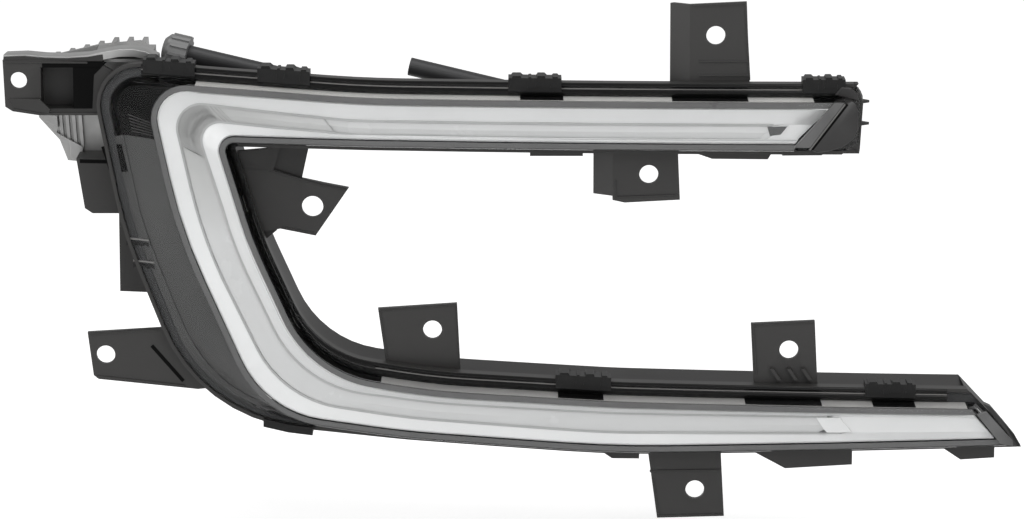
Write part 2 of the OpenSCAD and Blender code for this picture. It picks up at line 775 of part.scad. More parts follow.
// Bright band: two flanks that fall to a channel, with short sides behind its edges
module reflector() {
    t = reflector_t;
    e = 0.35;
    function row(r) = with_ends(r, [-1.6, -2, -2.4], [-1.6, -2, -2.4]);
    function a_row(d) = row(rail(moved(band_outer, all_round(d))));
    function b_row(d) = row(rail(moved(band_inner, all_round(-d))));
    from = row(between(channel_from));
    to = row(between(channel_to));
    from_back = row(between(shares(channel_from, -t / 15)));
    to_back = row(between(shares(channel_to, t / 15)));
    side = lip_depth + 4.5;
    color("#e4e6e8") difference() {
        sheet(
            [
                [a_row(-e), side], [a_row(-e), lip_depth + 0.5], [a_row(-e - 0.6), lip_depth],
                [from, edge_depth], [from, channel(floor_depth, edge_depth + 0.1)],
                [to, channel(floor_depth, edge_depth + 0.1)], [to, edge_depth],
                [b_row(-e - 0.6), lip_depth], [b_row(-e), lip_depth + 0.5], [b_row(-e), side]
            ],
            [
                [a_row(-e - t * 0.7), side], [a_row(-e - t * 0.7), lip_depth + t + 0.2],
                [a_row(-e - t * 0.7 - 0.4), lip_depth + t],
                [from_back, edge_depth + t], [from_back, channel(floor_depth + t, edge_depth + t + 0.1)],
                [to_back, channel(floor_depth + t, edge_depth + t + 0.1)], [to_back, edge_depth + t],
                [b_row(-e - t * 0.7 - 0.4), lip_depth + t],
                [b_row(-e - t * 0.7), lip_depth + t + 0.2], [b_row(-e - t * 0.7), side]
            ]
        );
        for (p = inlets) pin(p[0], bow(p[0]) + lip_depth - 2, p[1], inlet_d + 0.6, 20);
    }
}

// Clear strip that fills the channel, with two round inlets behind the corner
module light_guide() {
    function row(t) = part_of(with_ends(between(t), [0, -0.5, -1], [0, -0.5, -1]), 4, stations - 6);
    gap = 0.02;
    from = row(shares(channel_from, gap));
    to = row(shares(channel_to, -gap));
    middle = row([for (j = [0:7]) (channel_from[j] + channel_to[j]) / 2]);
    back = floor_depth - seat_gap;
    face = back - guide_t;
    color("#dfe6ea", 0.8) {
        sheet(
            [[from, face + 0.3], [middle, face - 0.5], [to, face + 0.3]],
            [[from, back], [middle, back], [to, back]]
        );
        for (p = inlets) pin(p[0], bow(p[0]) + back - 1.2, p[1], inlet_d, inlet_reach - back + 1.2);
    }
}
inlet_reach = 4.4;

// White channel behind the reflector, on posts that reach the floor of the housing
module guide_carrier() {
    function row(t) = with_ends(between(t), [-1.5, -2, -2.5], [-1.5, -2, -2.5]);
    front = floor_depth + reflector_t + seat_gap;
    o = row([for (t = channel_from) t - 0.05]);
    i = row([for (t = channel_to) t + 0.05]);
    mo = row([for (t = channel_from) t + 0.06]);
    mi = row([for (t = channel_to) t - 0.06]);
    web = 2;
    leg = 4;
    color("#d8d8d4") difference() {
        union() {
            sheet(
                [[o, front + web + leg], [o, front], [i, front], [i, front + web + leg]],
                [[mo, front + web + leg], [mo, front + web], [mi, front + web], [mi, front + web + leg]]
            );
            for (p = post_places)
                pin(
                    p[0], bow(p[0]) + front + web / 2, p[1], post_d,
                    floor_front - front - web / 2 - post_gap
                );
        }
        for (p = post_places) pin(p[0], bow(p[0]) + floor_front - 8, p[1], screw_d, 10);
        for (p = inlets) pin(p[0], bow(p[0]) + front - 2, p[1], inlet_d + 0.8, 20);
    }
}
post_gap = 0.9;

// Screws from behind that hold the carrier
module carrier_screws() {
    color("#8d9094") for (p = post_places) {
        y = bow(p[0] - 3.2) + housing_depth + 0.25;
        screw(p[0], y, p[1], 6.4, 7.6);
    }
}
// Pan head screw with a cross recess, driven towards the front from depth y
module screw(x, y, z, head_d, l) {
    head_h = head_d * 0.36;
    translate([x, y, z]) rotate([-90, 0, 0]) difference() {
        union() {
            cylinder(d = head_d, h = head_h * 0.55);
            translate([0, 0, head_h * 0.55]) cylinder(d1 = head_d, d2 = head_d * 0.72, h = head_h * 0.45);
            translate([0, 0, -l]) cylinder(d = screw_d - 0.1, h = l + 0.1);
        }
        for (a = [0, 90]) rotate(a)
            translate([-head_d * 0.28, -0.35, head_h * 0.4]) cube([head_d * 0.56, 0.7, head_h]);
    }
}

// Satin trim under the clear side of the lens, from below the corner round to the lower arm
module side_trim() {
    from = first_of(2) + arc_steps[2] + 1;
    to = first_of(5) - 1;
    function row(c, d) = part_of(rail(moved(c, all_round(d))), from, to);
    edge = lens_wall + 1.3;
    t = 1.6;
    top = lip_depth + 3;
    low = row(lens_foot_outer, -edge);
    high = row(band_outer, 0.2);
    function share(f) = [for (i = [0:to - from]) mix(high[i], low[i], f)];
    color("#3a3a3c") sheet(
        [[low, 0.2], [share(0.1), top], [share(0.01), top]],
        [[low, 0.2 + t], [share(0.1), top + t], [share(0.01), top + t]]
    );
}

// Black clips that hold the lens on the flange
clip_places = [
    [-110, -90, true, true], [-66, -46, true, true], [29, 49, true, true], [139, 155, true, true],
    [-65, -46, true, false], [47, 68, false, false], [164, 183, false, false]
];
module lens_clips() {
    color("#141415") for (c = clip_places) clip(c[0], c[1], c[2], c[3]);
}
module clip(x0, x1, on_outer, upper) {
    t = 1.5;
    reach = on_outer && !upper ? 1.2 : flange_w - 1.9;
    gap = 0.3;
    edge = on_outer ? flange_outer : flange_inner;
    side = on_outer ? 1 : -1;
    function row(d) = [
        for (x = [x0, (x0 + x1) / 2, x1]) at_x(rail(moved(edge, all_round(side * d))), x, upper)
    ];
    front = -lip_h - gap;
    back = flange_t + gap;
    in = row(-reach);
    outer_rows = [[in, front - t], [row(gap + t), front - t], [row(gap + t), back + t], [in, back + t]];
    inner_rows = [[in, front], [row(gap), front], [row(gap), back], [in, back]];
    if (on_outer && !upper) sheet(inner_rows, outer_rows);
    else sheet(outer_rows, inner_rows);
}

// Heat sink: a pedestal through the window, a plate behind the collar, and upright fins
module heat_sink() {
    plate_t = 3;
    y = sink_seat_y + seat_gap;
    left = -154;
    right = sink_x + sink_w / 2 + collar_w;
    shoulder_x = -130;
    shoulder_top = top_z + 11.5;
    fin_h = 15;
    pitch = (right - left - fin_t) / (fin_count - 1);
    // The tops of the fins follow the upper edge, and their feet the cut corner below
    edge_slope = 0.25;
    heel_w = 12;
    heel_h = 17;
    color("#b9bcc0") {
        difference() {
            union() {
                plate(y, plate_t) polygon([
                    [left, top_z + 6], [left, top_z - heel_h], [left + 8, top_z - 26],
                    [left + 11, top_z - 34], [left + 30, top_z - sink_drop], [right, top_z - 31],
                    [right, sink_low_edge], [sink_step_x, sink_low_edge], [sink_step_x, top_z + 9],
                    [sink_step_x - 6, top_z + 13], [shoulder_x, shoulder_top]
                ]);
                translate([sink_x - sink_w / 2 + 1, pedestal_y, sink_z - sink_h / 2 + 1])
                    cube([sink_w - 2, y + 1 - pedestal_y, sink_h - 2]);
                translate([shoulder_x, 0, 0]) rotate([90, 0, 90])
                    linear_extrude(sink_step_x - shoulder_x) polygon([
                        [shoulder_y, shoulder_z], [y + 1, shoulder_z], [y + 1, shoulder_top],
                        [shoulder_y + 9, shoulder_z + 2.6], [shoulder_y, shoulder_z + 1.2]
                    ]);
                for (k = [0:fin_count - 1])
                    let (x = left + k * pitch, edge = top_z + 6.675 + (x - left) * edge_slope)
                    translate([x, y, 0]) fin(
                        x + fin_t > sink_step_x ? sink_low_edge : min(edge, top_z + 14),
                        top_z - heel_h * (1 + min(1, (x - left) / heel_w)), plate_t + fin_h
                    );
            }
            for (p = sink_screws) pin(p[0], y - 1, p[1], screw_d + 0.6, 30);
            for (p = sink_screws) pin(p[0], y + plate_t, p[1], 7.4, 30);
            for (p = lamp_board_screws) pin(p[0], pedestal_y - 1, p[1], 2, 7);
        }
    }
}
module fin(z_top, z_low, d) {
    inset = 1.5;
    chamfer = 3;
    rotate([90, 0, 90]) linear_extrude(fin_t)
        polygon([
            [1, z_low + inset], [1, z_top - inset], [d - chamfer, z_top - inset],
            [d, z_top - 5], [d, z_low + 4], [d - chamfer, z_low + inset]
        ]);
}
// Cast shoulder that reaches forward over the lamp body
shoulder_y = bow(-108) + 14;
shoulder_z = top_z + 8.4;
// The upper edge of the heat sink steps down here, clear of the vent cap
sink_step_x = -108;
sink_low_edge = top_z - 0.5;
pad_t = 0.6;
board_t = 1.6;
led_h = 1.3;
pedestal_y = bow(-90) + inlet_reach + 0.4 + led_h + board_t + pad_t + 0.2;
lamp_board_screws = [[sink_x - 9, sink_z + 8], [sink_x - 9, sink_z - 8]];

module thermal_pad() {
    color("#9fb7c4") difference() {
        translate([sink_x - sink_w / 2 + 2, pedestal_y - pad_t + 0.05, sink_z - sink_h / 2 + 2])
            cube([sink_w - 4, pad_t - 0.1, sink_h - 4]);
        for (p = lamp_board_screws) pin(p[0], pedestal_y - 2, p[1], 2.6, 6);
    }
}
module led_board() {
    color("#e9ebe4") difference() {
        translate([sink_x - sink_w / 2 + 1.5, pedestal_y - pad_t - board_t, sink_z - sink_h / 2 + 1.5])
            cube([sink_w - 3, board_t, sink_h - 3]);
        for (p = lamp_board_screws) pin(p[0], pedestal_y - 6, p[1], 2.4, 8);
    }
}
module leds() {
    color("#f4e27a") for (p = inlets)
        translate([p[0] - 1.75, pedestal_y - pad_t - board_t - led_h - 0.02, p[1] - 1.75])
            cube([3.5, led_h, 3.5]);
}
module led_board_screws() {
    color("#8d9094") for (p = lamp_board_screws) {
        y = pedestal_y - pad_t - board_t - 0.03;
        difference() {
            union() {
                pin(p[0], y - 1.5, p[1], 4, 1.5);
                pin(p[0], y - 0.1, p[1], 1.9, 6);
            }
            translate([p[0] - 1.2, y - 2, p[1] - 0.25]) cube([2.4, 1.2, 0.5]);
        }
    }
}
module heat_sink_screws() {
    color("#8d9094") for (p = sink_screws) screw(p[0], sink_seat_y + seat_gap + 3.05, p[1], 6.4, 9);
}

// Driver board on four posts in its bay
board_y = bay_back_y - bay_d + board_post_h;
module driver_board() {
    color("#2f6b45") difference() {
        translate([bay_x + 7, board_y + 0.05, bay_z + 7]) cube([bay_w - 14, board_t, bay_h - 14]);
        for (p = bay_screws) pin(p[0], board_y - 1, p[1], 7.4, 6);
        for (p = board_posts) pin(p[0], board_y - 1, p[1], 1.9, 6);
    }
}
module driver_parts() {
    controller = [9, 2, 9];
    switch = [5, 1.6, 6];
    coil = [6, 3.4, 6];
    resistor = [3.2, 1.2, 1.6];
    capacitor_d = 6.3;
    color("#26272b") translate([bay_x + bay_w / 2, board_y + 0.1 + board_t, bay_z + bay_h / 2]) {
        translate([-9.5, 0, -6]) cube(controller);
        translate([3.5, 0, -2]) cube(switch);
        translate([2.5, 0, -10]) cube(coil);
        for (x = [-8, -3.5]) translate([x, 0, -9.6]) cube(resistor);
        for (x = [-4, 4]) pin(x, 0, 7.8, capacitor_d, 5);
    }
}
module driver_board_screws() {
    color("#8d9094") for (p = board_posts) {
        y = board_y + 0.1 + board_t;
        difference() {
            pin(p[0], y, p[1], 3.6, 1.3);
            translate([p[0] - 1.1, y + 0.6, p[1] - 0.22]) cube([2.2, 1.2, 0.44]);
        }
    }
}

// Cover of the driver bay with its seal and screws
cover_t = 2.4;
cover_seal_t = 1;
module service_cover_seal() {
    w = bay_wall;
    color("#2a2a2c") difference() {
        translate([bay_x + 0.4, bay_back_y + 0.05, bay_z + 0.4])
            cube([bay_w - 0.8, cover_seal_t - 0.1, bay_h - 0.8]);
        translate([bay_x + w + 6, bay_back_y - 1, bay_z + w + 6])
            cube([bay_w - 2 * w - 12, 4, bay_h - 2 * w - 12]);
        for (p = bay_screws) pin(p[0], bay_back_y - 1, p[1], screw_d + 0.8, 4);
    }
}
module service_cover() {
    y = bay_back_y + cover_seal_t;
    rib_pitch = 3.6;
    color("#232325") difference() {
        union() {
            plate(y, cover_t) rounded(bay_x, bay_z, bay_w, bay_h, 3);
            for (k = [0:3])
                translate([bay_x + 9, y + cover_t - 0.5, bay_z + bay_h - 18 + k * rib_pitch])
                    cube([bay_w - 18, 1.6, 1.4]);
        }
        translate([socket_x - socket_w / 2 - 0.15, y - 1, socket_z - socket_h / 2 - 0.15])
            cube([socket_w + 0.3, 8, socket_h + 0.3]);
        for (p = bay_screws) pin(p[0], y - 1, p[1], screw_d + 0.6, 6);
    }
}
module rounded(x, z, w, h, r) {
    translate([x + r, z]) square([w - 2 * r, h]);
    translate([x, z + r]) square([w, h - 2 * r]);
    for (a = [r, w - r], b = [r, h - r]) translate([x + a, z + b]) circle(r);
}
module service_cover_screws() {
    color("#8d9094") for (p = bay_screws)
        screw(p[0], bay_back_y + cover_seal_t + cover_t + 0.03, p[1], 6.4, 9);
}

// Connector socket in the cover, with a collar, a key and four pins
socket_w = 19;
socket_h = 11;
socket_x = bay_x + bay_w / 2;
socket_z = bay_z + bay_h / 2 - 7;
socket_out = 13;
module connector_socket() {
    y = bay_back_y + cover_seal_t;
    back = y + cover_t;
    wall = 1.5;
    color("#1a1a1b") difference() {
        union() {
            translate([socket_x - socket_w / 2, y - 1.5, socket_z - socket_h / 2])
                cube([socket_w, socket_out + 1.5 + cover_t, socket_h]);
            translate([socket_x - socket_w / 2 - 2, back + 0.05, socket_z - socket_h / 2 - 2])
                cube([socket_w + 4, 1.6, socket_h + 4]);
            translate([socket_x - 2.5, back + 0.5, socket_z + socket_h / 2 - 0.5])
                cube([5, socket_out - 3, 2.2]);
        }
        translate([socket_x - socket_w / 2 + wall, back + 1.5, socket_z - socket_h / 2 + wall])
            cube([socket_w - 2 * wall, socket_out + 5, socket_h - 2 * wall]);
        for (k = pin_places) translate([socket_x + k - 0.5, y - 3, socket_z - 0.5]) cube([1, 12, 1]);
    }
}
pin_places = [-5.4, -1.8, 1.8, 5.4];
module connector_pins() {
    color("#c9b26a") for (k = pin_places)
        translate([socket_x + k - 0.45, bay_back_y - 3, socket_z - 0.45]) cube([0.9, 12.5, 0.9]);
}

// Rubber elbow pushed on a spigot: a head with a closed end, and a leg along the arm
module elbow(p, tip, d, bore) {
    y = bow(p[0] - 3) + housing_depth + 0.3;
    centre = [p[0], y + spigot_h + 1.8, p[1]];
    v = [tip[0], bow(tip[0]) + housing_depth + leg_depth, tip[1]] - centre;
    turn = [0, acos(v[2] / norm(v)), atan2(v[1], v[0])];
    difference() {
        union() {
            pin(p[0], y, p[1], d + 1.6, spigot_h + 1.8 + d * 0.64);
            translate(centre) rotate(turn) cylinder(d = d, h = norm(v));
        }
        pin(p[0], y - 1, p[1], spigot_d + 0.1, spigot_h + 0.8);
        pin(p[0], y + spigot_h - 1, p[1], bore + 0.5, 2.8 + bore * 0.7);
        translate(centre) rotate(turn) cylinder(d = bore, h = norm(v) + 1);
    }
}
elbow_d = 7;
elbow_bore = 3.4;
leg_depth = 9;
left_tip = [-99, top_z + 8.9];
middle_tip = [-9, top_z + 5.5];
module vent_elbow_left() {
    color("#2b2c2e") elbow(vent_left, left_tip, elbow_d, elbow_bore);
}
module vent_elbow_middle() {
    color("#2b2c2e") elbow(vent_middle, middle_tip, elbow_d, elbow_bore);
}

// Pale filter cap on the end of the left elbow, with grip ribs
module vent_cap() {
    centre = [vent_left[0], bow(vent_left[0] - 3) + housing_depth + 2.1 + spigot_h, vent_left[1]];
    tip = [left_tip[0], bow(left_tip[0]) + housing_depth + leg_depth, left_tip[1]];
    v = tip - centre;
    l = norm(v);
    cap_d = 12.5;
    color("#b4b6b8") translate(centre) rotate([0, acos(v[2] / l), atan2(v[1], v[0])])
        difference() {
            union() {
                translate([0, 0, l - 4]) cylinder(d = cap_d, h = 8);
                translate([0, 0, l + 4]) cylinder(d1 = cap_d, d2 = cap_d - 4, h = 2);
                for (a = [0:30:330]) rotate(a) translate([cap_d / 2 - 0.4, -0.6, l - 4]) cube([1.1, 1.2, 7]);
            }
            translate([0, 0, l - 5]) cylinder(d = elbow_d + 0.2, h = 5.1);
            translate([0, 0, l - 1]) cylinder(d = elbow_d - 1, h = 5.5);
        }
}

housing();
outer_lens();
lens_seal();
reflector();
light_guide();
guide_carrier();
side_trim();
carrier_screws();
lens_clips();
led_board();
leds();
led_board_screws();
thermal_pad();
heat_sink();
heat_sink_screws();
driver_board();
driver_parts();
driver_board_screws();
service_cover();
service_cover_seal();
service_cover_screws();
connector_socket();
connector_pins();
vent_elbow_left();
vent_cap();
vent_elbow_middle();
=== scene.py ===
import bpy
import bmesh
import math
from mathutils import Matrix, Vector


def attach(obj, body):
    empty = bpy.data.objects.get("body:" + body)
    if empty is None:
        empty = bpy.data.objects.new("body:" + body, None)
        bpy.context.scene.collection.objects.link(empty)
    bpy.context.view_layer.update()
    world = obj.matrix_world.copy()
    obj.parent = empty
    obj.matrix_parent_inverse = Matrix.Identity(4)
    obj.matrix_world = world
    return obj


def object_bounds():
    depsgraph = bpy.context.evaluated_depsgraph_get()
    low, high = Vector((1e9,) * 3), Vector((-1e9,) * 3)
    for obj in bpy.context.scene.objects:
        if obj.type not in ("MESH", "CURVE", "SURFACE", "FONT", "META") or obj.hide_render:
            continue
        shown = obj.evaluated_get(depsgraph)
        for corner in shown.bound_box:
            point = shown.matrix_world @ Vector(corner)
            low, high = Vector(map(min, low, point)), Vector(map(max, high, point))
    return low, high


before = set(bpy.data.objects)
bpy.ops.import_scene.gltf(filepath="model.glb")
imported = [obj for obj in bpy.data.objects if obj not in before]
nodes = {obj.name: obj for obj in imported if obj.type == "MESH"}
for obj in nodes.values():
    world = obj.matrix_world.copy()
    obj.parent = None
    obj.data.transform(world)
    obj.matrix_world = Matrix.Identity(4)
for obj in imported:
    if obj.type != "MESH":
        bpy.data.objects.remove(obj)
cad_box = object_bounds()
MM = 0.001

# Camera: 11 degrees above the lamp, 1.8 m away, 0.38 mm to a pixel of the picture
IMAGE_WIDTH = 1024
MM_PER_PIXEL = 0.38
ELEVATION = math.radians(11)
DISTANCE = 1.8
SENSOR = 36
TARGET = Vector((30.4, -6.0, 28.54)) * MM
camera = bpy.data.objects.new("camera", bpy.data.cameras.new("camera"))
bpy.context.scene.collection.objects.link(camera)
camera.location = TARGET + DISTANCE * Vector((0, -math.cos(ELEVATION), math.sin(ELEVATION)))
camera.rotation_euler = (math.pi / 2 - ELEVATION, 0, 0)
camera.data.sensor_width = SENSOR
camera.data.lens = SENSOR * DISTANCE / (MM_PER_PIXEL * MM) / IMAGE_WIDTH
camera.data.clip_start = 0.05
camera.data.clip_end = 20
bpy.context.scene.camera = camera
bpy.context.scene.view_settings.view_transform = "Standard"

# Driving sizes of the part in mm, which the frame doesn't carry
RIGHT_END = 224.0
LENGTH = 386.0
SWEEP_BACK = 45.0
TOP_Z = 91.1
LOW_Z = -36.1
UPPER_END = 151.0
LOWER_END = 214.0
UPPER_BAND = 14.2
LOWER_BAND = 15.4
MARGIN = 2.3
LENS_WALL = 2.4
LENS_DEPTH = 15.0
FLANGE_W = 5.2
UNDER_FLANGE_W = 3.0
BAR_FLANGE_W = 2.9
LIP_H = 2.6
LIP_DEPTH = -LENS_DEPTH + LENS_WALL + 0.6
EDGE_DEPTH = LIP_DEPTH + 2.4
GUIDE_FACE = EDGE_DEPTH - 0.2

# The face of the lug at the mouth side of the bar is at y = 0, and the flange stands in front of the lugs
MOUTH_LUG_X = -20.8
LUG_SET_BACK = 3.05


def sweep(x):
    """How far the corner of the car takes the lamp back at x."""
    return SWEEP_BACK * ((RIGHT_END - x) / LENGTH) ** 2


def bow(x):
    """Depth of the flange of the lamp at x."""
    return sweep(x) - sweep(MOUTH_LUG_X) - LUG_SET_BACK


def lug_y(x):
    """Depth of the face of the lug at x."""
    return bow(x) + LUG_SET_BACK


# Outlines: corners (x, z, radius) from the end of the upper arm round the bar to the tip below
BAND_OUTER = [
    (UPPER_END, TOP_Z, 0), (-25, TOP_Z - 1.2, 500), (-107.2, TOP_Z + 2.8, 11.5), (-95.4, 39.1, 200),
    (-64, -30.3, 38), (-10, LOW_Z, 400), (70, LOW_Z - 3.6, 500), (LOWER_END, LOW_Z + 1, 0),
]
BAND_INNER = [
    (UPPER_END - 14, TOP_Z - UPPER_BAND, 0), (-25, TOP_Z - UPPER_BAND - 1.1, 500),
    (-82, TOP_Z - UPPER_BAND - 1.1, 5.5), (-69.2, 33.7, 150),
    (-46.5, LOW_Z + LOWER_BAND + 4.9, 44), (0, LOW_Z + LOWER_BAND - 1, 300),
    (70, LOW_Z + LOWER_BAND - 3.5, 500), (LOWER_END - 9, LOW_Z + LOWER_BAND - 4.7, 0),
]
CORNERS = len(BAND_OUTER)
TIP = CORNERS - 1

# How the ends of the two arms move when an outline moves outwards by 1
UPPER_SLIDE = Vector((0.986, 1.0))
LOWER_SLIDE = Vector((0.93, -1.0))

# Clear side: where it takes the corners at the left of the lamp, and the radii there
WINDOW = 19.2
WINDOW_RUN = {2: (-1, 0.16), 3: (-1, -0.1), 4: (-1.17, -0.14)}
WINDOW_RADIUS = {2: 12, 3: 150, 4: 56}

# Points of a rail on the arc of each corner, and on each straight after it
ARC_STEPS = (0, 6, 22, 8, 26, 8, 8, 0)
STRAIGHT_STEPS = (40, 20, 20, 12, 10, 16, 40)


def flat(p):
    """Corner (x, z, radius) as a point."""
    return Vector((p[0], p[1]))


def moved(c, dist):
    """Outline moved outwards by one distance for each stretch, or by the same one all round."""
    d = list(dist) if isinstance(dist, (list, tuple)) else [dist] * TIP
    normal = []
    for j in range(TIP):
        t = (flat(c[j + 1]) - flat(c[j])).normalized()
        normal.append(Vector((t.y, -t.x)))
    out = []
    for j in range(CORNERS):
        if j == 0:
            p = flat(c[0]) + d[0] * UPPER_SLIDE
            r = 0
        elif j == TIP:
            p = flat(c[TIP]) + d[-1] * LOWER_SLIDE
            r = 0
        else:
            n1, n2, d1, d2 = normal[j - 1], normal[j], d[j - 1], d[j]
            k = n1.dot(n2)
            if abs(d1 - d2) < 0.001:
                a = b = d1 / (1 + k)
            else:
                a, b = (d1 - k * d2) / (1 - k * k), (d2 - k * d1) / (1 - k * k)
            p = flat(c[j]) + a * n1 + b * n2
            r = max(0.8, c[j][2] + (d1 + d2) / 2)
        out.append((p.x, p.y, r))
    return out


def with_window(c):
    """The outline that widens round the left of the lamp for the clear side."""
    out = []
    for j, p in enumerate(c):
        if j in WINDOW_RUN:
            run = WINDOW_RUN[j]
            x, z = BAND_OUTER[j][:2]
            out.append((x + run[0] * WINDOW, z + run[1] * WINDOW, WINDOW_RADIUS[j]))
        else:
            out.append(p)
    return out


FOOT_OUTER = with_window(moved(BAND_OUTER, [MARGIN, MARGIN, 0, 0, MARGIN, MARGIN, MARGIN]))
FOOT_INNER = moved(BAND_INNER, -MARGIN)
FLANGE_OUTER = moved(FOOT_OUTER, [FLANGE_W] * 2 + [FLANGE_W - 0.6] * 2 + [UNDER_FLANGE_W] * 3)
FLANGE_INNER = moved(FOOT_INNER, [-w for w in [UNDER_FLANGE_W] * 2 + [BAR_FLANGE_W] * 2 + [FLANGE_W] * 3])


def corner_points(c, j):
    """Points of the arc at corner j, or the corner itself at an end."""
    if j in (0, TIP):
        return [flat(c[j])]
    u = (flat(c[j - 1]) - flat(c[j])).normalized()
    v = (flat(c[j + 1]) - flat(c[j])).normalized()
    half = math.acos(max(-1, min(1, u.dot(v)))) / 2
    r = c[j][2]
    centre = flat(c[j]) + (u + v).normalized() * r / math.sin(half)
    start = flat(c[j]) + u * r / math.tan(half)
    e0 = (start - centre).normalized()
    e1 = (-u - e0 * (-u).dot(e0)).normalized()
    turn = math.pi - 2 * half
    n = ARC_STEPS[j]
    return [centre + r * (math.cos(turn * k / n) * e0 + math.sin(turn * k / n) * e1) for k in range(n + 1)]


def rail(c):
    """All the points of an outline, the same number on each."""
    out = []
    for j in range(CORNERS):
        here = corner_points(c, j)
        out += here
        if j < TIP:
            there = corner_points(c, j + 1)[0]
            n = STRAIGHT_STEPS[j]
            out += [here[-1].lerp(there, k / n) for k in range(1, n)]
    return out


def at_corner(j):
    """Number of the first point of corner j."""
    return sum(ARC_STEPS[k] + STRAIGHT_STEPS[k] for k in range(j)) if j else 0


def along(j, f):
    """Number of the point a share f along the straight that follows corner j."""
    return at_corner(j) + ARC_STEPS[j] + round(f * STRAIGHT_STEPS[j])


def shares(t):
    """One value for each point of a rail from one for each corner."""
    out = []
    for j in range(CORNERS):
        out += [t[j]] * (ARC_STEPS[j] + 1)
        if j < TIP:
            n = STRAIGHT_STEPS[j]
            out += [t[j] + (t[j + 1] - t[j]) * k / n for k in range(1, n)]
    return out


def mixed(a, b, t):
    """Rail a share t of the way from a to b, with one share or one for each point."""
    t = t if isinstance(t, (list, tuple)) else [t] * len(a)
    return [p.lerp(q, s) for p, q, s in zip(a, b, t)]


def out_from(r, d):
    """A rail moved away from the mouth by d mm."""
    out = []
    for i, p in enumerate(r):
        t = (r[min(i + 1, len(r) - 1)] - r[max(i - 1, 0)]).normalized()
        out.append(p + Vector((t.y, -t.x)) * d)
    return out


BAND_O, BAND_I = rail(BAND_OUTER), rail(BAND_INNER)
FOOT_O, FOOT_I = rail(FOOT_OUTER), rail(FOOT_INNER)
FLANGE_O, FLANGE_I = rail(FLANGE_OUTER), rail(FLANGE_INNER)

# Light guide: its edges as shares of the way across the band at each corner, and where it starts and ends
CHANNEL_FROM = shares([0.49, 0.5, 0.32, 0.3, 0.34, 0.33, 0.31, 0.25])
CHANNEL_TO = shares([0.9, 0.88, 0.7, 0.74, 0.76, 0.78, 0.8, 0.8])
CHANNEL_O = mixed(BAND_O, BAND_I, CHANNEL_FROM)
CHANNEL_I = mixed(BAND_O, BAND_I, CHANNEL_TO)
CHANNEL_START = along(0, 0.1)
CHANNEL_END = along(6, 0.55)
LAST = len(BAND_O) - 1

# Angle above which the edges of a piece stay sharp
SHARP = math.radians(32)


def place(obj, slot, material):
    """Link a piece, dress it and fix it to the body of the lamp."""
    bpy.context.scene.collection.objects.link(obj)
    obj.data.materials.append(material)
    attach(obj, "root")
    return obj


def mesh_piece(name, verts, faces, material, slot, bevel=0.0, segments=2):
    """A piece from points in mm, with its normals put right and its edges rounded."""
    me = bpy.data.meshes.new(name)
    me.from_pydata([Vector(v) * MM for v in verts], [], faces)
    bm = bmesh.new()
    bm.from_mesh(me)
    bmesh.ops.recalc_face_normals(bm, faces=bm.faces)
    bm.to_mesh(me)
    bm.free()
    for p in me.polygons:
        p.use_smooth = True
    me.set_sharp_from_angle(angle=SHARP)
    obj = place(bpy.data.objects.new(name, me), slot, material)
    if bevel:
        m = obj.modifiers.new("edges", "BEVEL")
        m.width = bevel * MM
        m.segments = segments
        m.limit_method = "ANGLE"
        m.angle_limit = SHARP
        m.harden_normals = True
    return obj


def strip(name, rows, material, slot, span):
    """Closed profile swept along the rails: rows go round the profile as (rail, depth)."""
    a, b = span
    m = len(rows)
    verts, faces = [], []
    for i in range(a, b + 1):
        for r, d in rows:
            verts.append((r[i].x, bow(r[i].x) + d, r[i].y))
    for i in range(b - a):
        for k in range(m):
            faces.append((i * m + k, i * m + (k + 1) % m, (i + 1) * m + (k + 1) % m, (i + 1) * m + k))
    faces.append(tuple(range(m)))
    faces.append(tuple((b - a) * m + k for k in range(m)))
    return mesh_piece(name, verts, faces, material, slot)


def bar_rows(r0, r1, y0, y1):
    """Rows of a rectangle between two rails and two depths."""
    return [(r0, y0), (r0, y1), (r1, y1), (r1, y0)]


def crowned_rows(rail_at, a, b, inset, back, front, drop):
    """Rows of a flat bar from rail_at(a) to rail_at(b) with both its long edges cut off."""
    return [(rail_at(a), back), (rail_at(a), front + drop), (rail_at(a + inset), front),
            (rail_at(b - inset), front), (rail_at(b), front + drop), (rail_at(b), back)]


def ring(name, inner, outer, front, back, material, slot):
    """Flat border between two closed outlines, from depth front to depth back."""
    n = len(inner)
    verts, faces = [], []
    for p, q in zip(inner, outer):
        verts += [(p.x, bow(p.x) + front, p.y), (q.x, bow(q.x) + front, q.y),
                  (q.x, bow(q.x) + back, q.y), (p.x, bow(p.x) + back, p.y)]
    for i in range(n):
        a, b = i * 4, ((i + 1) % n) * 4
        for k in range(4):
            faces.append((a + k, a + (k + 1) % 4, b + (k + 1) % 4, b + k))
    return mesh_piece(name, verts, faces, material, slot)


def closed_outline(d):
    """Both edges of the band moved outwards by d, joined across the ends of the arms."""
    return rail(moved(BAND_OUTER, d)) + rail(moved(BAND_INNER, -d))[::-1]


def lofted(name, loops, material, slot, bevel):
    """Solid through closed loops of points (x, y, z), with the same number of points each."""
    m = len(loops[0])
    verts = [p for loop in loops for p in loop]
    faces = [(i * m + k, i * m + (k + 1) % m, (i + 1) * m + (k + 1) % m, (i + 1) * m + k)
             for i in range(len(loops) - 1) for k in range(m)]
    faces += [tuple(range(m)), tuple((len(loops) - 1) * m + k for k in range(m))]
    return mesh_piece(name, verts, faces, material, slot, bevel)


def joined(name, parts, material, slot, bevel=0.0):
    """One piece from several closed lists of (verts, faces)."""
    verts, faces = [], []
    for v, f in parts:
        base = len(verts)
        verts += v
        faces += [tuple(base + i for i in face) for face in f]
    return mesh_piece(name, verts, faces, material, slot, bevel)


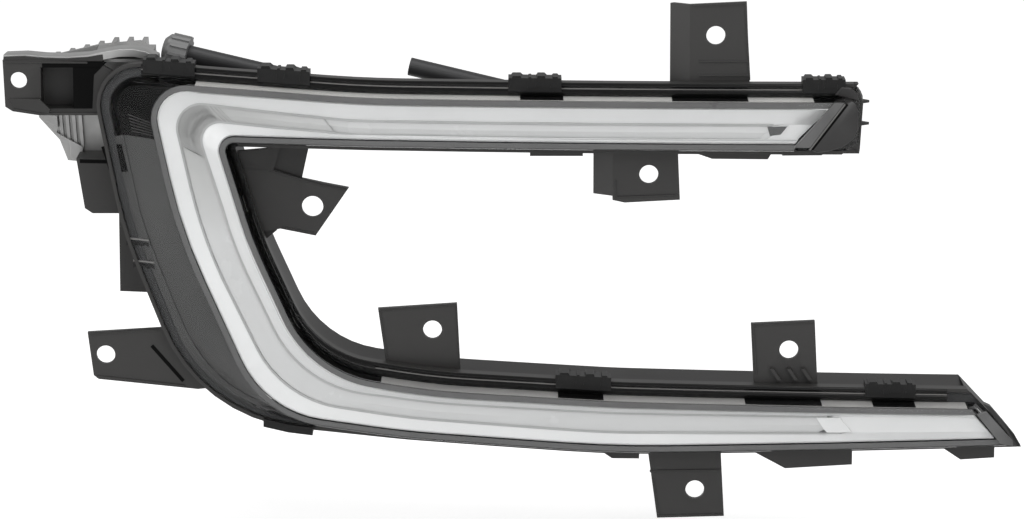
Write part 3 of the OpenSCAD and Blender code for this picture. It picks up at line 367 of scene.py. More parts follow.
def block(corners_front, corners_back):
    """Verts and faces of a solid between two polygons with the same number of corners."""
    n = len(corners_front)
    faces = [tuple(range(n)), tuple(range(n, 2 * n))]
    faces += [(k, (k + 1) % n, n + (k + 1) % n, n + k) for k in range(n)]
    return list(corners_front) + list(corners_back), faces


def thick_block(front, t):
    """Solid from a face (x, y, z) straight back by t."""
    return block(front, [(x, y + t, z) for x, y, z in front])


def backed_block(front, back):
    """Solid from a face (x, y, z) straight back to one depth."""
    return block(front, [(x, back, z) for x, y, z in front])


def plate_block(outline, y, t):
    """Plate with the outline [(x, z), ...], its front at depth y and t thick."""
    return thick_block([(x, y, z) for x, z in outline], t)


# Materials
def new_material(name):
    """Material with its nodes, its main shader and the input that takes its surface."""
    mat = bpy.data.materials.new(name)
    mat.use_nodes = True
    nt = mat.node_tree
    nt.nodes.clear()
    out = nt.nodes.new("ShaderNodeOutputMaterial")
    bsdf = nt.nodes.new("ShaderNodeBsdfPrincipled")
    nt.links.new(bsdf.outputs[0], out.inputs[0])
    return mat, nt, bsdf, out.inputs[0]


def coords(nt):
    return nt.nodes.new("ShaderNodeTexCoord").outputs["Object"]


def noise(nt, vec, scale, detail, rough):
    n = nt.nodes.new("ShaderNodeTexNoise")
    n.inputs["Scale"].default_value = scale
    n.inputs["Detail"].default_value = detail
    n.inputs["Roughness"].default_value = rough
    nt.links.new(vec, n.inputs["Vector"])
    return n.outputs["Fac"]


def ramp(nt, fac, stops):
    r = nt.nodes.new("ShaderNodeValToRGB")
    while len(r.color_ramp.elements) < len(stops):
        r.color_ramp.elements.new(0.5)
    for e, (pos, col) in zip(r.color_ramp.elements, stops):
        e.position = pos
        e.color = (*col, 1)
    nt.links.new(fac, r.inputs[0])
    return r.outputs[0]


def math_node(nt, op, *values):
    m = nt.nodes.new("ShaderNodeMath")
    m.operation = op
    for i, v in enumerate(values):
        if isinstance(v, (int, float)):
            m.inputs[i].default_value = v
        else:
            nt.links.new(v, m.inputs[i])
    return m.outputs[0]


def bump(nt, height, strength, distance):
    b = nt.nodes.new("ShaderNodeBump")
    b.inputs["Strength"].default_value = strength
    b.inputs["Distance"].default_value = distance
    nt.links.new(height, b.inputs["Height"])
    return b.outputs[0]


def mix_shaders(nt, fac, first, second, target):
    """Link a mix of two shaders to the input target."""
    mix = nt.nodes.new("ShaderNodeMixShader")
    nt.links.new(fac, mix.inputs[0])
    nt.links.new(first, mix.inputs[1])
    nt.links.new(second, mix.inputs[2])
    nt.links.new(mix.outputs[0], target)


def varied(colour, spread):
    """A darker and a paler colour on both sides of one."""
    return tuple(c * (1 - spread) for c in colour), tuple(min(1, c * (1 + spread)) for c in colour)


def plastic(name, colour, rough, grain=900, grain_depth=0.00004, spread=0.2, edge=0.5, spec=0.5):
    """Moulded plastic: fine spark grain, faint flow marks, and edges that are a little paler, a painted
    highlight.
    """
    mat, nt, bsdf, _ = new_material(name)
    vec = coords(nt)
    fine = noise(nt, vec, grain, 2, 0.6)
    wide = noise(nt, vec, 24, 5, 0.6)
    low, high = varied(colour, spread)
    col = ramp(nt, wide, [(0.3, low), (0.7, high)])
    geo = nt.nodes.new("ShaderNodeNewGeometry")
    # Edges found by pointiness get a paler colour, a painted highlight
    painted_edge_highlight = ramp(nt, geo.outputs["Pointiness"], [(0.52, (0, 0, 0)), (0.6, (1, 1, 1))])
    mix = nt.nodes.new("ShaderNodeMix")
    mix.data_type = "RGBA"
    nt.links.new(math_node(nt, "MULTIPLY", painted_edge_highlight, edge), mix.inputs[0])
    nt.links.new(col, mix.inputs[6])
    mix.inputs[7].default_value = (*[min(1, c * 2.2 + 0.02) for c in colour], 1)
    nt.links.new(mix.outputs[2], bsdf.inputs["Base Color"])
    nt.links.new(math_node(nt, "MULTIPLY_ADD", wide, 0.16, rough - 0.08), bsdf.inputs["Roughness"])
    nt.links.new(bump(nt, fine, 0.35, grain_depth), bsdf.inputs["Normal"])
    bsdf.inputs["Specular IOR Level"].default_value = spec
    return mat


def metal(name, colour, rough, scale=300, depth=0.00003, spread=0.08, metallic=1.0):
    """Metal or metallised plastic, with a faint unevenness in colour and gloss."""
    mat, nt, bsdf, _ = new_material(name)
    vec = coords(nt)
    fine = noise(nt, vec, scale, 3, 0.6)
    wide = noise(nt, vec, 30, 4, 0.6)
    low, high = varied(colour, spread)
    nt.links.new(ramp(nt, wide, [(0.3, low), (0.7, high)]), bsdf.inputs["Base Color"])
    nt.links.new(math_node(nt, "MULTIPLY_ADD", fine, 0.2, rough - 0.1), bsdf.inputs["Roughness"])
    bsdf.inputs["Metallic"].default_value = metallic
    nt.links.new(bump(nt, fine, 0.4, depth), bsdf.inputs["Normal"])
    return mat


def clear(name, tint):
    """Clear plastic. Shadow rays pass, so that what lies behind is lit as through a thin cover."""
    mat, nt, bsdf, surface = new_material(name)
    bsdf.inputs["Base Color"].default_value = (*tint, 1)
    bsdf.inputs["Transmission Weight"].default_value = 1
    bsdf.inputs["IOR"].default_value = 1.15
    wide = noise(nt, coords(nt), 60, 3, 0.5)
    nt.links.new(math_node(nt, "MULTIPLY", wide, 0.02), bsdf.inputs["Roughness"])
    path = nt.nodes.new("ShaderNodeLightPath")
    see = nt.nodes.new("ShaderNodeBsdfTransparent")
    see.inputs[0].default_value = (*[t * 0.96 for t in tint], 1)
    mix_shaders(nt, path.outputs["Is Shadow Ray"], bsdf.outputs[0], see.outputs[0], surface)
    return mat


def guide_material(name):
    """Milky guide with a painted shade: greyer round the corner by the lamps, and paler along both arms."""
    mat, nt, bsdf, _ = new_material(name)
    vec = coords(nt)
    split = nt.nodes.new("ShaderNodeSeparateXYZ")
    nt.links.new(vec, split.inputs[0])
    # Painted shade: the colour is darker towards the corner at the left and top and paler along both arms
    far = math_node(nt, "MULTIPLY_ADD", split.outputs["X"], 9.0, 0.92)
    low = math_node(nt, "MULTIPLY_ADD", split.outputs["Z"], -20.0, 1.5)
    fac = math_node(nt, "MAXIMUM", far, low)
    fine = noise(nt, vec, 70, 4, 0.6)
    uneven = math_node(nt, "ADD", fac, math_node(nt, "MULTIPLY_ADD", fine, 0.3, -0.15))
    greys = [(0.0, (0.44, 0.44, 0.435)), (0.35, (0.54, 0.54, 0.535)), (0.8, (0.67, 0.67, 0.67))]
    nt.links.new(ramp(nt, uneven, greys), bsdf.inputs["Base Color"])
    nt.links.new(math_node(nt, "MULTIPLY_ADD", fine, 0.15, 0.18), bsdf.inputs["Roughness"])
    nt.links.new(bump(nt, fine, 0.3, 0.0001), bsdf.inputs["Normal"])
    bsdf.inputs["Coat Weight"].default_value = 0.6
    bsdf.inputs["Coat Roughness"].default_value = 0.05
    return mat


M = {
    "housing": plastic("housing_plastic", (0.021, 0.0202, 0.0195), 0.42, grain=1300, grain_depth=0.00002,
                       edge=0.4),
    "gloss": plastic("rail_gloss", (0.003, 0.003, 0.003), 0.2, grain_depth=0.000005, spread=0.1,
                     edge=0.2, spec=0.3),
    "black": plastic("shadow_black", (0.0015, 0.0015, 0.0015), 0.5, grain_depth=0.00001, spec=0.1, edge=0.0),
    "satin": plastic("cap_satin", (0.03, 0.029, 0.029), 0.36, grain_depth=0.00002, spread=0.25,
                     edge=0.3, spec=0.4),
    "mottled": plastic("tip_mottled", (0.13, 0.13, 0.13), 0.4, grain=700, spread=0.45, edge=0.0),
    "line": plastic("rail_line", (0.2, 0.195, 0.19), 0.3, spread=0.1, edge=0.0),
    "border": plastic("lens_border", (0.13, 0.13, 0.13), 0.3, spread=0.1, edge=0.0),
    # Bright walls beside the band, a painted reflection in the side of the lens
    "skirt": metal("skirt_painted_reflection", (0.78, 0.77, 0.75), 0.35, spread=0.06, metallic=0.5),
    "warm_skirt": metal("skirt_warm_painted_reflection", (0.56, 0.55, 0.54), 0.35, spread=0.08, metallic=0.5),
    "liner": plastic("corner_liner", (0.004, 0.004, 0.004), 0.5, grain=200, grain_depth=0.0000005,
                     spread=0.3, edge=0, spec=0.04),
    "lens": clear("clear_cover", (0.97, 0.975, 0.975)),
    "rubber": plastic("seal_rubber", (0.02, 0.02, 0.021), 0.7, grain=500),
    "reflector": metal("reflector_bright", (0.86, 0.86, 0.86), 0.34, scale=400, depth=0.00001,
                       spread=0.03, metallic=0.45),
    "guide": guide_material("guide_milky"),
    "edge_line": plastic("guide_edge", (0.46, 0.46, 0.46), 0.35, spread=0.1, edge=0),
    "carrier": plastic("carrier_white", (0.6, 0.6, 0.58), 0.5, spread=0.05, edge=0),
    "trim": plastic("trim_grey", (0.076, 0.0755, 0.075), 0.4, grain=300, grain_depth=0.000001,
                    spread=0.12, edge=0, spec=0.2),
    "screw": metal("screw_zinc", (0.55, 0.55, 0.56), 0.32),
    "clip": plastic("clip_black", (0.005, 0.005, 0.005), 0.4, edge=0.3, spec=0.3),
    "board_white": plastic("board_white", (0.7, 0.71, 0.67), 0.4, spread=0.04, edge=0),
    "board_green": plastic("board_green", (0.04, 0.18, 0.09), 0.35, spread=0.1, edge=0),
    "led": plastic("lamp_chip", (0.7, 0.62, 0.3), 0.3, spread=0.05, edge=0),
    "chip": plastic("chip_black", (0.03, 0.03, 0.032), 0.45),
    "pad": plastic("thermal_pad", (0.35, 0.45, 0.5), 0.8, spread=0.1, edge=0),
    "alu": metal("cast_aluminium", (0.5, 0.5, 0.495), 0.48, scale=220, depth=0.00015, spread=0.2),
    "brass": metal("pin_brass", (0.75, 0.6, 0.3), 0.3),
    "hose": plastic("hose_rubber", (0.022, 0.022, 0.023), 0.42, grain=500),
    "cap": plastic("cap_grey", (0.16, 0.16, 0.16), 0.5, spread=0.15),
}

# What each node of the frame is dressed in
DRESS = {
    "housing": "housing", "outer_lens": "lens", "lens_seal": "rubber", "reflector": "reflector",
    "light_guide": "guide", "guide_carrier": "carrier", "side_trim": "trim", "carrier_screws": "screw",
    "lens_clips": "clip", "led_board": "board_white", "leds": "led", "led_board_screws": "screw",
    "thermal_pad": "pad", "heat_sink": "alu", "heat_sink_screws": "screw", "driver_board": "board_green",
    "driver_parts": "chip", "driver_board_screws": "screw", "service_cover": "housing",
    "service_cover_seal": "rubber", "service_cover_screws": "screw", "connector_socket": "clip",
    "connector_pins": "brass", "vent_elbow_left": "hose", "vent_cap": "cap", "vent_elbow_middle": "hose",
}


def smoothing_group():
    """Geometry nodes that shade a mesh smooth and keep the edges over 28 degrees sharp."""
    tree = bpy.data.node_groups.new("smooth_below_28_degrees", "GeometryNodeTree")
    tree.interface.new_socket("Geometry", in_out="INPUT", socket_type="NodeSocketGeometry")
    tree.interface.new_socket("Geometry", in_out="OUTPUT", socket_type="NodeSocketGeometry")
    start = tree.nodes.new("NodeGroupInput")
    end = tree.nodes.new("NodeGroupOutput")
    angle = tree.nodes.new("GeometryNodeInputMeshEdgeAngle")
    below = tree.nodes.new("FunctionNodeCompare")
    below.operation = "LESS_THAN"
    below.inputs[1].default_value = math.radians(28)
    tree.links.new(angle.outputs["Unsigned Angle"], below.inputs[0])
    faces = tree.nodes.new("GeometryNodeSetShadeSmooth")
    faces.domain = "FACE"
    faces.inputs["Shade Smooth"].default_value = True
    edges = tree.nodes.new("GeometryNodeSetShadeSmooth")
    edges.domain = "EDGE"
    tree.links.new(start.outputs[0], faces.inputs[0])
    tree.links.new(faces.outputs[0], edges.inputs[0])
    tree.links.new(below.outputs[0], edges.inputs["Shade Smooth"])
    tree.links.new(edges.outputs[0], end.inputs[0])
    return tree


SMOOTH = smoothing_group()
for name, key in DRESS.items():
    obj = nodes[name]
    obj.data.materials.clear()
    obj.data.materials.append(M[key])
    weld = obj.modifiers.new("weld", "WELD")
    weld.merge_threshold = 0.000002
    obj.modifiers.new("smooth", "NODES").node_group = SMOOTH
    weighted = obj.modifiers.new("normals", "WEIGHTED_NORMAL")
    weighted.keep_sharp = True


# Dark edge of the lens all round the bright band, just under its surface
BORDER_INNER = -0.15
BORDER_OUTER = 1.75
BORDER_FRONT = -LENS_DEPTH + 1.5
BORDER_BACK = -LENS_DEPTH + 1.9
ring("lens_border", closed_outline(BORDER_INNER), closed_outline(BORDER_OUTER), BORDER_FRONT, BORDER_BACK,
     M["border"], "trim_grey")

# Painted reflection: a bright wall behind the clear side above the upper arm, and a warmer one above the
# lower arm, stand in for the glossy dark side of the lens reflecting what is around it
WALL_FRONT = -12.6
WALL_BACK = -2.1
WALL_OUTSIDE = 2.0
WALL_INSIDE = 1.6


def painted_reflection_wall(name, edge, side, key, span):
    rows = bar_rows(out_from(edge, side * WALL_OUTSIDE), out_from(edge, side * WALL_INSIDE),
                    WALL_FRONT, WALL_BACK)
    strip(name, rows, M[key], "reflector_white", span)


painted_reflection_wall("upper_skirt_painted_reflection", BAND_O, 1, "skirt", (along(0, 0.04), along(1, 0.97)))
painted_reflection_wall("lower_skirt_painted_reflection", BAND_I, -1, "warm_skirt", (along(4, 0.3), along(6, 0.97)))

# Black rails on the flange of both arms: a lip, a pale line that is a painted highlight on the foot of the
# lens, and the seat of the lens
# Each goes from one distance to another inside the edge of the flange, and from a back to a front depth
RAILS = {"outer": (0.25, 1.9, -LIP_H - 0.05, -LIP_H - 0.45), "inner": (2.7, FLANGE_W - 0.15, -2.45, -2.8)}
PAINTED_HIGHLIGHT_LINE = (2.05, 2.5, -2.4, -2.75)
RAIL_INSET = 0.25
RAIL_DROP = 0.15


def flange_rails(name, edge, side, span):
    def inside(d):
        return out_from(edge, -side * d)

    for part, (a, b, back, front) in RAILS.items():
        rows = crowned_rows(inside, a, b, RAIL_INSET, back, front, RAIL_DROP)
        strip(f"{name}_{part}_rail", rows, M["gloss"], "housing_plastic", span)
    # The pale line is a painted highlight on the foot of the lens
    a, b, back, front = PAINTED_HIGHLIGHT_LINE
    strip(f"{name}_line", bar_rows(inside(a), inside(b), back, front), M["line"], "housing_plastic", span)


flange_rails("upper", FLANGE_O, 1, (along(0, 0.02), along(1, 0.98)))
flange_rails("lower", FLANGE_I, -1, (along(4, 0.1), along(6, 0.98)))


# Black web with a fine line, on the flange at the mouth side of the bar
def mouth_side(share):
    """Rail on the flange: share 0 at its edge, 1 at the foot of the lens."""
    return mixed(FLANGE_I, FOOT_I, share)


strip("mouth_web", crowned_rows(mouth_side, 0.05, 0.95, 0.1, -0.4, -3.0, 0.2), M["gloss"], "housing_plastic",
      (at_corner(2), along(4, 0.12)))
strip("mouth_web_line", bar_rows(mouth_side(0.42), mouth_side(0.5), -2.9, -3.12), M["satin"],
      "housing_plastic", (at_corner(3), along(4, 0.1)))

# Window at the left: black liner round the corner with its ribs, and the margin of the trim below it
TRIM_LOW = out_from(FOOT_O, -3.7)
TRIM_HIGH = mixed(out_from(BAND_O, 0.2), TRIM_LOW, 0.1)
TRIM_FRONT = -9.0
TRIM_BACK = 0.2
LINER_END = along(2, 0.28)
LINER_CROWN = 0.5
LINER_T = 0.8
RIBS = 6
RIB_PITCH = 0.9
RIB_WIDTH = 0.2


def between(r, i):
    """Point of a rail at i, which can lie between two of its points."""
    return r[int(i)].lerp(r[min(int(i) + 1, LAST)], i % 1)


def trim_slope(share):
    return TRIM_BACK + (TRIM_FRONT - TRIM_BACK) * share


def on_trim(i, share, proud=0.0):
    """Point on the slope of the trim at rail point i: share 0 at its outer edge, 1 by the band."""
    p = between(TRIM_LOW, i).lerp(between(TRIM_HIGH, i), share)
    return (p.x, bow(p.x) + trim_slope(share) - proud, p.y)


def liner_rib(i):
    def face(low, high):
        return [on_trim(i, 0.3, low), on_trim(i, 0.95, high),
                on_trim(i + RIB_WIDTH, 0.95, high), on_trim(i + RIB_WIDTH, 0.3, low)]

    return block(face(0.1, 0.5), face(-0.8, -0.6))


liner_rows = []
for share in (0.0, 0.25, 0.5, 0.75, 1.0):
    line = [on_trim(i, share) for i in range(LAST + 1)]
    liner_rows.append(([Vector((x, z)) for x, y, z in line],
                       trim_slope(share) + LINER_CROWN * math.sin(math.pi * share)))
liner_rows += [(r, d + LINER_T) for r, d in liner_rows[::-1]]
strip("corner_liner", liner_rows, M["liner"], "housing_plastic", (at_corner(2) + 1, LINER_END))
strip("trim_margin", bar_rows(out_from(FOOT_O, -3.9), out_from(FOOT_O, -0.3), 0.2, -0.3),
      M["trim"], "trim_grey", (LINER_END, at_corner(4) + 25))
joined("liner_ribs", [liner_rib(along(2, 0.02) + k * RIB_PITCH) for k in range(RIBS)],
       M["housing"], "housing_plastic")

# Light guide: edge lines in a grey that is a painted shade along its edges, prisms round the corner, joint
# marks and slanted ends, with a dark wedge of painted shade on the upper end
EDGE_LINE_HALF = 0.42
EDGE_LINE_T = 0.35
GUIDE_CROWN = 0.8
GUIDE_SINK = 0.3
BAR_STEPS = 6
PRISM_PITCH = 0.62
PRISM_WIDTH = 0.34

# The edge lines are a painted shade along both edges of the guide
for label, r in (("outer", CHANNEL_O), ("inner", CHANNEL_I)):
    rows = bar_rows(out_from(r, EDGE_LINE_HALF), out_from(r, -EDGE_LINE_HALF),
                    EDGE_DEPTH, EDGE_DEPTH - EDGE_LINE_T)
    strip(f"guide_edge_{label}", rows, M["edge_line"], "guide_clear", (CHANNEL_START, CHANNEL_END))


def across_guide(i, share, proud):
    """Point on the rounded front of the guide at rail point i: share 0 at its outer edge, 1 at the inner."""
    p = between(CHANNEL_O, i).lerp(between(CHANNEL_I, i), share)
    crown = GUIDE_CROWN * (1 - (2 * share - 1) ** 2)
    return (p.x, bow(p.x) + GUIDE_FACE + GUIDE_SINK - crown - proud, p.y)


def guide_bar(i, width, from_share, to_share, proud):
    """Bar across the guide, from rail point i on, that follows its rounded front."""
    across = [from_share + (to_share - from_share) * k / BAR_STEPS for k in range(BAR_STEPS + 1)]

    def face(height):
        return ([across_guide(i, s, height) for s in across]
                + [across_guide(i + width, s, height) for s in across[::-1]])

    return block(face(proud), face(-GUIDE_SINK))


prisms = []
prism_at = float(at_corner(2) - 2)
while prism_at < along(2, 0.2):
    prisms.append(guide_bar(prism_at, PRISM_WIDTH, 0.04, 0.96, 0.14))
    prism_at += PRISM_PITCH
joined("guide_prisms", prisms, M["guide"], "guide_clear")
marks = [guide_bar(along(1, 0.13), 0.08, 0.03, 0.97, 0.3), guide_bar(along(2, 0.22), 0.12, 0.03, 0.97, 0.35)]
joined("guide_marks", marks, M["edge_line"], "guide_clear")


def guide_sides(i):
    """Outer and inner edge of the guide at rail point i, as (x, z) and (x, z)."""
    outer, inner = across_guide(i, 0.02, 0), across_guide(i, 0.98, 0)
    return outer[0], outer[2], inner[0], inner[2]


def guide_plate(name, outline, proud, t, key, bevel):
    front = [(x, bow(x) + GUIDE_FACE - proud, z) for x, z in outline]
    mesh_piece(name, *thick_block(front, t), M[key], "guide_clear", bevel)


ox, oz, ix, iz = guide_sides(CHANNEL_START)
guide_plate("guide_end", [(ox, oz), (ox + 6, oz), (ix + 2.6, iz), (ix, iz)], 0.2, 1.2, "guide", 0.15)
# Dark wedge in the corner of the upper end: a painted shade
guide_plate("guide_end_wedge_shade", [(ox - 2.2, oz - 0.5), (ox + 5.2, oz - 0.4), (ox + 2.8, oz - 3.4),
                                (ox - 1.2, oz - 4)], 0.55, 1.2, "mottled", 0.1)
ox, oz, ix, iz = guide_sides(CHANNEL_END)
guide_plate("guide_end_lower", [(ox - 6, oz + 0.2), (ox + 4, oz + 0.2), (ix + 4.6, iz - 0.2),
                                (ix - 4.3, iz - 0.2)], 0.7, 1.4, "reflector", 0.1)
guide_plate("guide_end_shade", [(ox - 8.4, oz + 0.2), (ox - 5.6, oz + 0.2), (ox - 6.4, oz + 1.2)],
            0.8, 1.4, "mottled", 0.1)

# Marks on the trim under the clear side: a slot drawn as a black plate of painted shade, and two clips (from
# x, to x, z) that grip its edge, each with a pale top that is a painted highlight
SLOT = [(-120.8, 69.6), (-118.6, 69.8), (-116.2, 59.2), (-118.9, 59.0)]
CLIP_MARKS = ((-117.5, -108.5, 31.4), (-115, -106.5, 22.8))
MARK_RISE = -0.6
MARK_H = 1.8
MARK_T = 1.0
TEETH = 3
TOOTH_H = 0.9


def trim_depth(x, z):
    """Depth of the trim, or of the liner above it, at x and z."""
    spots = (on_trim(at_corner(2) + a / 2, b / 12) for a in range(2, 150) for b in range(13))
    return min(spots, key=lambda spot: (spot[0] - x) ** 2 + (spot[2] - z) ** 2)[1]


def on_window(outline, proud):
    """Verts and faces of a plate that follows the trim, with its outline in x and z."""
    return thick_block([(x, trim_depth(x, z) - proud, z) for x, z in outline], MARK_T)


def jagged(x0, x1, z):
    """Outline of a strip with teeth along its lower edge."""
    top = [(x0 + (x1 - x0) * k / 4, z + MARK_RISE * k / 4 + MARK_H / 2) for k in range(5)]
    low = []
    for k in range(TEETH * 2 + 1):
        f = 1 - k / (TEETH * 2)
        low.append((x0 + (x1 - x0) * f, z + MARK_RISE * f - MARK_H / 2 + (TOOTH_H if k % 2 else 0)))
    return top + low


# The slot is a black plate of painted shade
joined("window_slot_shade", [on_window(SLOT, 0.35)], M["black"], "housing_plastic")
joined("window_clips", [on_window(jagged(*mark), 0.5) for mark in CLIP_MARKS], M["clip"], "housing_plastic")
# Pale tops of the clips: a painted highlight
joined("window_clip_top_highlights", [on_window([(x0, z + 2.2), (x1, z + 1.6), (x1, z + 1.0), (x0, z + 1.6)], 0.6)
                            for x0, x1, z in CLIP_MARKS], M["line"], "housing_plastic")

# Painted dark reflections of the clips and lugs in the bright walls of painted reflection beside the band
BLOCK_OUTSIDE = WALL_OUTSIDE + 0.12
BLOCK_INSIDE = 1.9
BLOCK_FRONT = -12.2
BLOCK_BACK = -2.3


def near(r, x, low, high):
    """Number of the point of a rail nearest to x, from point low to point high."""
    return min(range(low, high + 1), key=lambda i: abs(r[i].x - x))


def wall_block(name, edge, side, x0, x1, low, high):
    a, b = sorted((near(edge, x0, low, high), near(edge, x1, low, high)))
    rows = bar_rows(out_from(edge, side * BLOCK_OUTSIDE), out_from(edge, side * BLOCK_INSIDE),
                    BLOCK_FRONT, BLOCK_BACK)
    strip(name, rows, M["black"], "housing_plastic", (a, max(b, a + 1)))


UPPER = (0, at_corner(2))
LOWER = (at_corner(5), LAST)
for k, (x0, x1) in enumerate(((91, 120), (31.5, 49))):
    wall_block(f"upper_wall_block_{k}", BAND_O, 1, x0, x1, *UPPER)
for k, (x0, x1) in enumerate(((118, 146), (48.6, 65), (165.6, 182.8))):
    wall_block(f"lower_wall_block_{k}", BAND_I, -1, x0, x1, *LOWER)

# Rounded end of the upper arm, over the end of the lens
CAP_EDGE = [
    (154.2, -36.0, 93.0), (157, -29.8, 93.2), (159, -24.6, 91.4), (160, -23.5, 88), (160, -23.5, 81.5),
    (158, -24.5, 77.6), (154, -26.5, 75.2), (149, -29, 74.1), (144, -31.8, 74), (141.5, -34, 75.6),
    (147.8, -35.3, 84.5),
]
CAP_CROWN = (152.4, -31.4, 84.2)
CAP_BACK = -19.5
ARM_CORNER = [(151, 94.6), (153.4, 97.8), (157.2, 97.4), (159.6, 95), (160, 92.4), (156.4, 93)]
ARM_STRIP = [(150.2, 93.4), (153.8, 93.4), (141.2, 76.6), (135.4, 76.8)]
SEAM_T = 2
RIDGE_ROOT = 0.4


def arm_end_cap():
    n = len(CAP_EDGE)
    verts = CAP_EDGE + [(x, CAP_BACK, z) for x, y, z in CAP_EDGE] + [CAP_CROWN]
    faces = [(k, (k + 1) % n, 2 * n) for k in range(n)]
    faces += [(k, (k + 1) % n, n + (k + 1) % n, n + k) for k in range(n)] + [tuple(range(n, 2 * n))]
    mesh_piece("arm_end_cap", verts, faces, M["satin"], "housing_plastic", 0.5, 3)


def slanted(p, q, w, t):
    """Bar of width w and thickness t, with its front along a line between two points (x, y, z)."""
    d = Vector((q[0] - p[0], q[2] - p[2])).normalized()
    nx, nz = -d.y * w / 2, d.x * w / 2
    return thick_block([(p[0] + nx, p[1], p[2] + nz), (q[0] + nx, q[1], q[2] + nz),
                        (q[0] - nx, q[1], q[2] - nz), (p[0] - nx, p[1], p[2] - nz)], t)


def ridge(points, y, w, h):
    """Thin bars of width w along a line of points (x, z), h proud of the depth y."""
    line = [(x, y - h, z) for x, z in points]
    return [slanted(p, q, w, h + RIDGE_ROOT) for p, q in zip(line, line[1:])]


arm_end_cap()
mesh_piece("arm_end_corner", *plate_block(ARM_CORNER, -24.6, 6), M["satin"], "housing_plastic", 0.6)
mesh_piece("arm_end_seam", *slanted((155.0, -36.3, 93), (142.1, -35.5, 75.7), 0.7, SEAM_T),
           M["black"], "housing_plastic")
mesh_piece("arm_end_bead", *slanted((154.0, -36.4, 93), (141.1, -35.9, 75.7), 0.45, SEAM_T),
           M["line"], "housing_plastic")
mesh_piece("arm_end_strip", *plate_block(ARM_STRIP, -36.2, SEAM_T), M["mottled"], "housing_plastic", 0.1)

# Mottled edge and dark end of the lower arm, over the end of the lens
TIP_EDGE_FRONT = [(205.2, -37.4, -25.0), (208.8, -36.2, -24.2), (219.0, -35.6, -35.6), (219.0, -36.0, -37.2),
                  (214.2, -37.4, -36.2)]
TIP_EDGE_BACK = [(205.2, -35.2, -25.0), (208.8, -33.2, -24.2), (219.0, -33.2, -35.6), (219.0, -33.6, -37.2),
                 (214.2, -35.2, -36.2)]
TIP_END = [(207.9, -30, -22.2), (211, -29, -23.6), (216, -28.4, -29.4), (220.4, -27.6, -34.8),
           (222.8, -26.6, -39.0), (221.8, -26.6, -39.8), (218.2, -31, -37.4), (217.6, -31.4, -33.8)]
TIP_BACK = -24
mesh_piece("tip_edge", *block(TIP_EDGE_FRONT, TIP_EDGE_BACK), M["mottled"], "housing_plastic", 0.15)
mesh_piece("tip_end", *backed_block(TIP_END, TIP_BACK), M["satin"], "housing_plastic", 0.3)

# Lips of the clips: four uneven ones on each clip, which goes from x to x on an edge of the flange
CLIPS = [(-110, -90, FLANGE_O, UPPER), (-66, -46, FLANGE_O, UPPER), (29, 49, FLANGE_O, UPPER),
         (139, 155, FLANGE_O, UPPER), (47, 68, FLANGE_I, LOWER), (164, 183, FLANGE_I, LOWER)]

# Where a lip starts and how wide it is, as shares of the clip, and its rise
LIPS = ((0.02, 0.3, 0.5), (0.36, 0.1, 0.1), (0.5, 0.26, 0.6), (0.8, 0.18, 0.3))
LIP_ABOVE_EDGE = 1.2
LIP_FRONT = -4.7
LIP_TOP_FRONT = -4.5
LIP_BACK = 4.5
LIP_LOW = 3.4
LIP_LOW_BACK = 0.6
LIP_HIGH = 0.9


def clip_lip(x, w, y, z):
    """Lip from x to x + w that narrows to its top, round the flange at depth y."""
    def face(low_y, high_y, low_z):
        return [(x, low_y, low_z), (x + w, low_y, low_z), (x + w * 0.7, high_y, z + LIP_HIGH),
                (x + w * 0.2, high_y, z + LIP_HIGH)]

    return block(face(y + LIP_FRONT, y + LIP_TOP_FRONT, z - LIP_LOW),
                 face(y + LIP_BACK, y + LIP_BACK, z - LIP_LOW_BACK))


lips = []
for x0, x1, edge, span in CLIPS:
    for start, share, rise in LIPS:
        x = x0 + (x1 - x0) * start
        z = edge[near(edge, x, *span)].y + LIP_ABOVE_EDGE + rise
        lips.append(clip_lip(x, (x1 - x0) * share, bow(x), z))
joined("clip_teeth", lips, M["clip"], "housing_plastic", 0.12)

# Creases and steps of the lugs, by the x of the lug: line of points (x, z), width and height
CORNER_LUG_X = -131.8
LOW_CORNER_LUG_X = -108
CREASES = {
    90: [([(100.6, 105.6), (119.4, 105.6)], 0.7, 0.5), ([(100.6, 100.2), (119.9, 100.2)], 0.7, 0.5),
         ([(98.2, 126.6), (117.8, 127.4), (119.6, 98.5)], 0.8, 0.35)],
    64: [([(70, 53.4), (92.6, 54.2)], 0.7, 0.45), ([(69.6, 60), (69.8, 53)], 0.6, 0.4)],
    81: [([(83, -52.6), (110, -52.2)], 0.8, 0.5), ([(84.3, -56), (86.6, -70.2), (111, -69.6)], 0.7, 0.35)],
    MOUTH_LUG_X: [([(-20, 7.4), (-17.2, -13)], 0.7, 0.4), ([(-20, 7.6), (8.9, 9.5), (10.3, -13)], 0.6, 0.3)],
    121: [([(121.8, 4.6), (123.2, -14)], 0.7, 0.4), ([(121.8, 4.8), (144.5, 5.9)], 0.6, 0.3)],
    LOW_CORNER_LUG_X: [([(-132.6, -4.9), (-106, -3.2)], 0.7, 0.4), ([(-130, -21.6), (-96, -25.4)], 0.9, 0.6)],
    -80: [([(-62.5, 60.2), (-41.6, 54.2), (-33.2, 52.7)], 0.7, 0.45), ([(-57.5, 38), (-45, 35.6)], 0.7, 0.4)],
    CORNER_LUG_X: [([(-163.4, 100.4), (-132, 100.2)], 0.7, 0.5),
                   ([(-160.6, 82), (-150, 80.4), (-126, 80.4)], 0.8, 0.6)],
}
creases = []
for lug_x, lines in CREASES.items():
    for points, w, h in lines:
        creases += ridge(points, lug_y(lug_x), w, h)
joined("lug_creases", creases, M["housing"], "housing_plastic", 0.12)

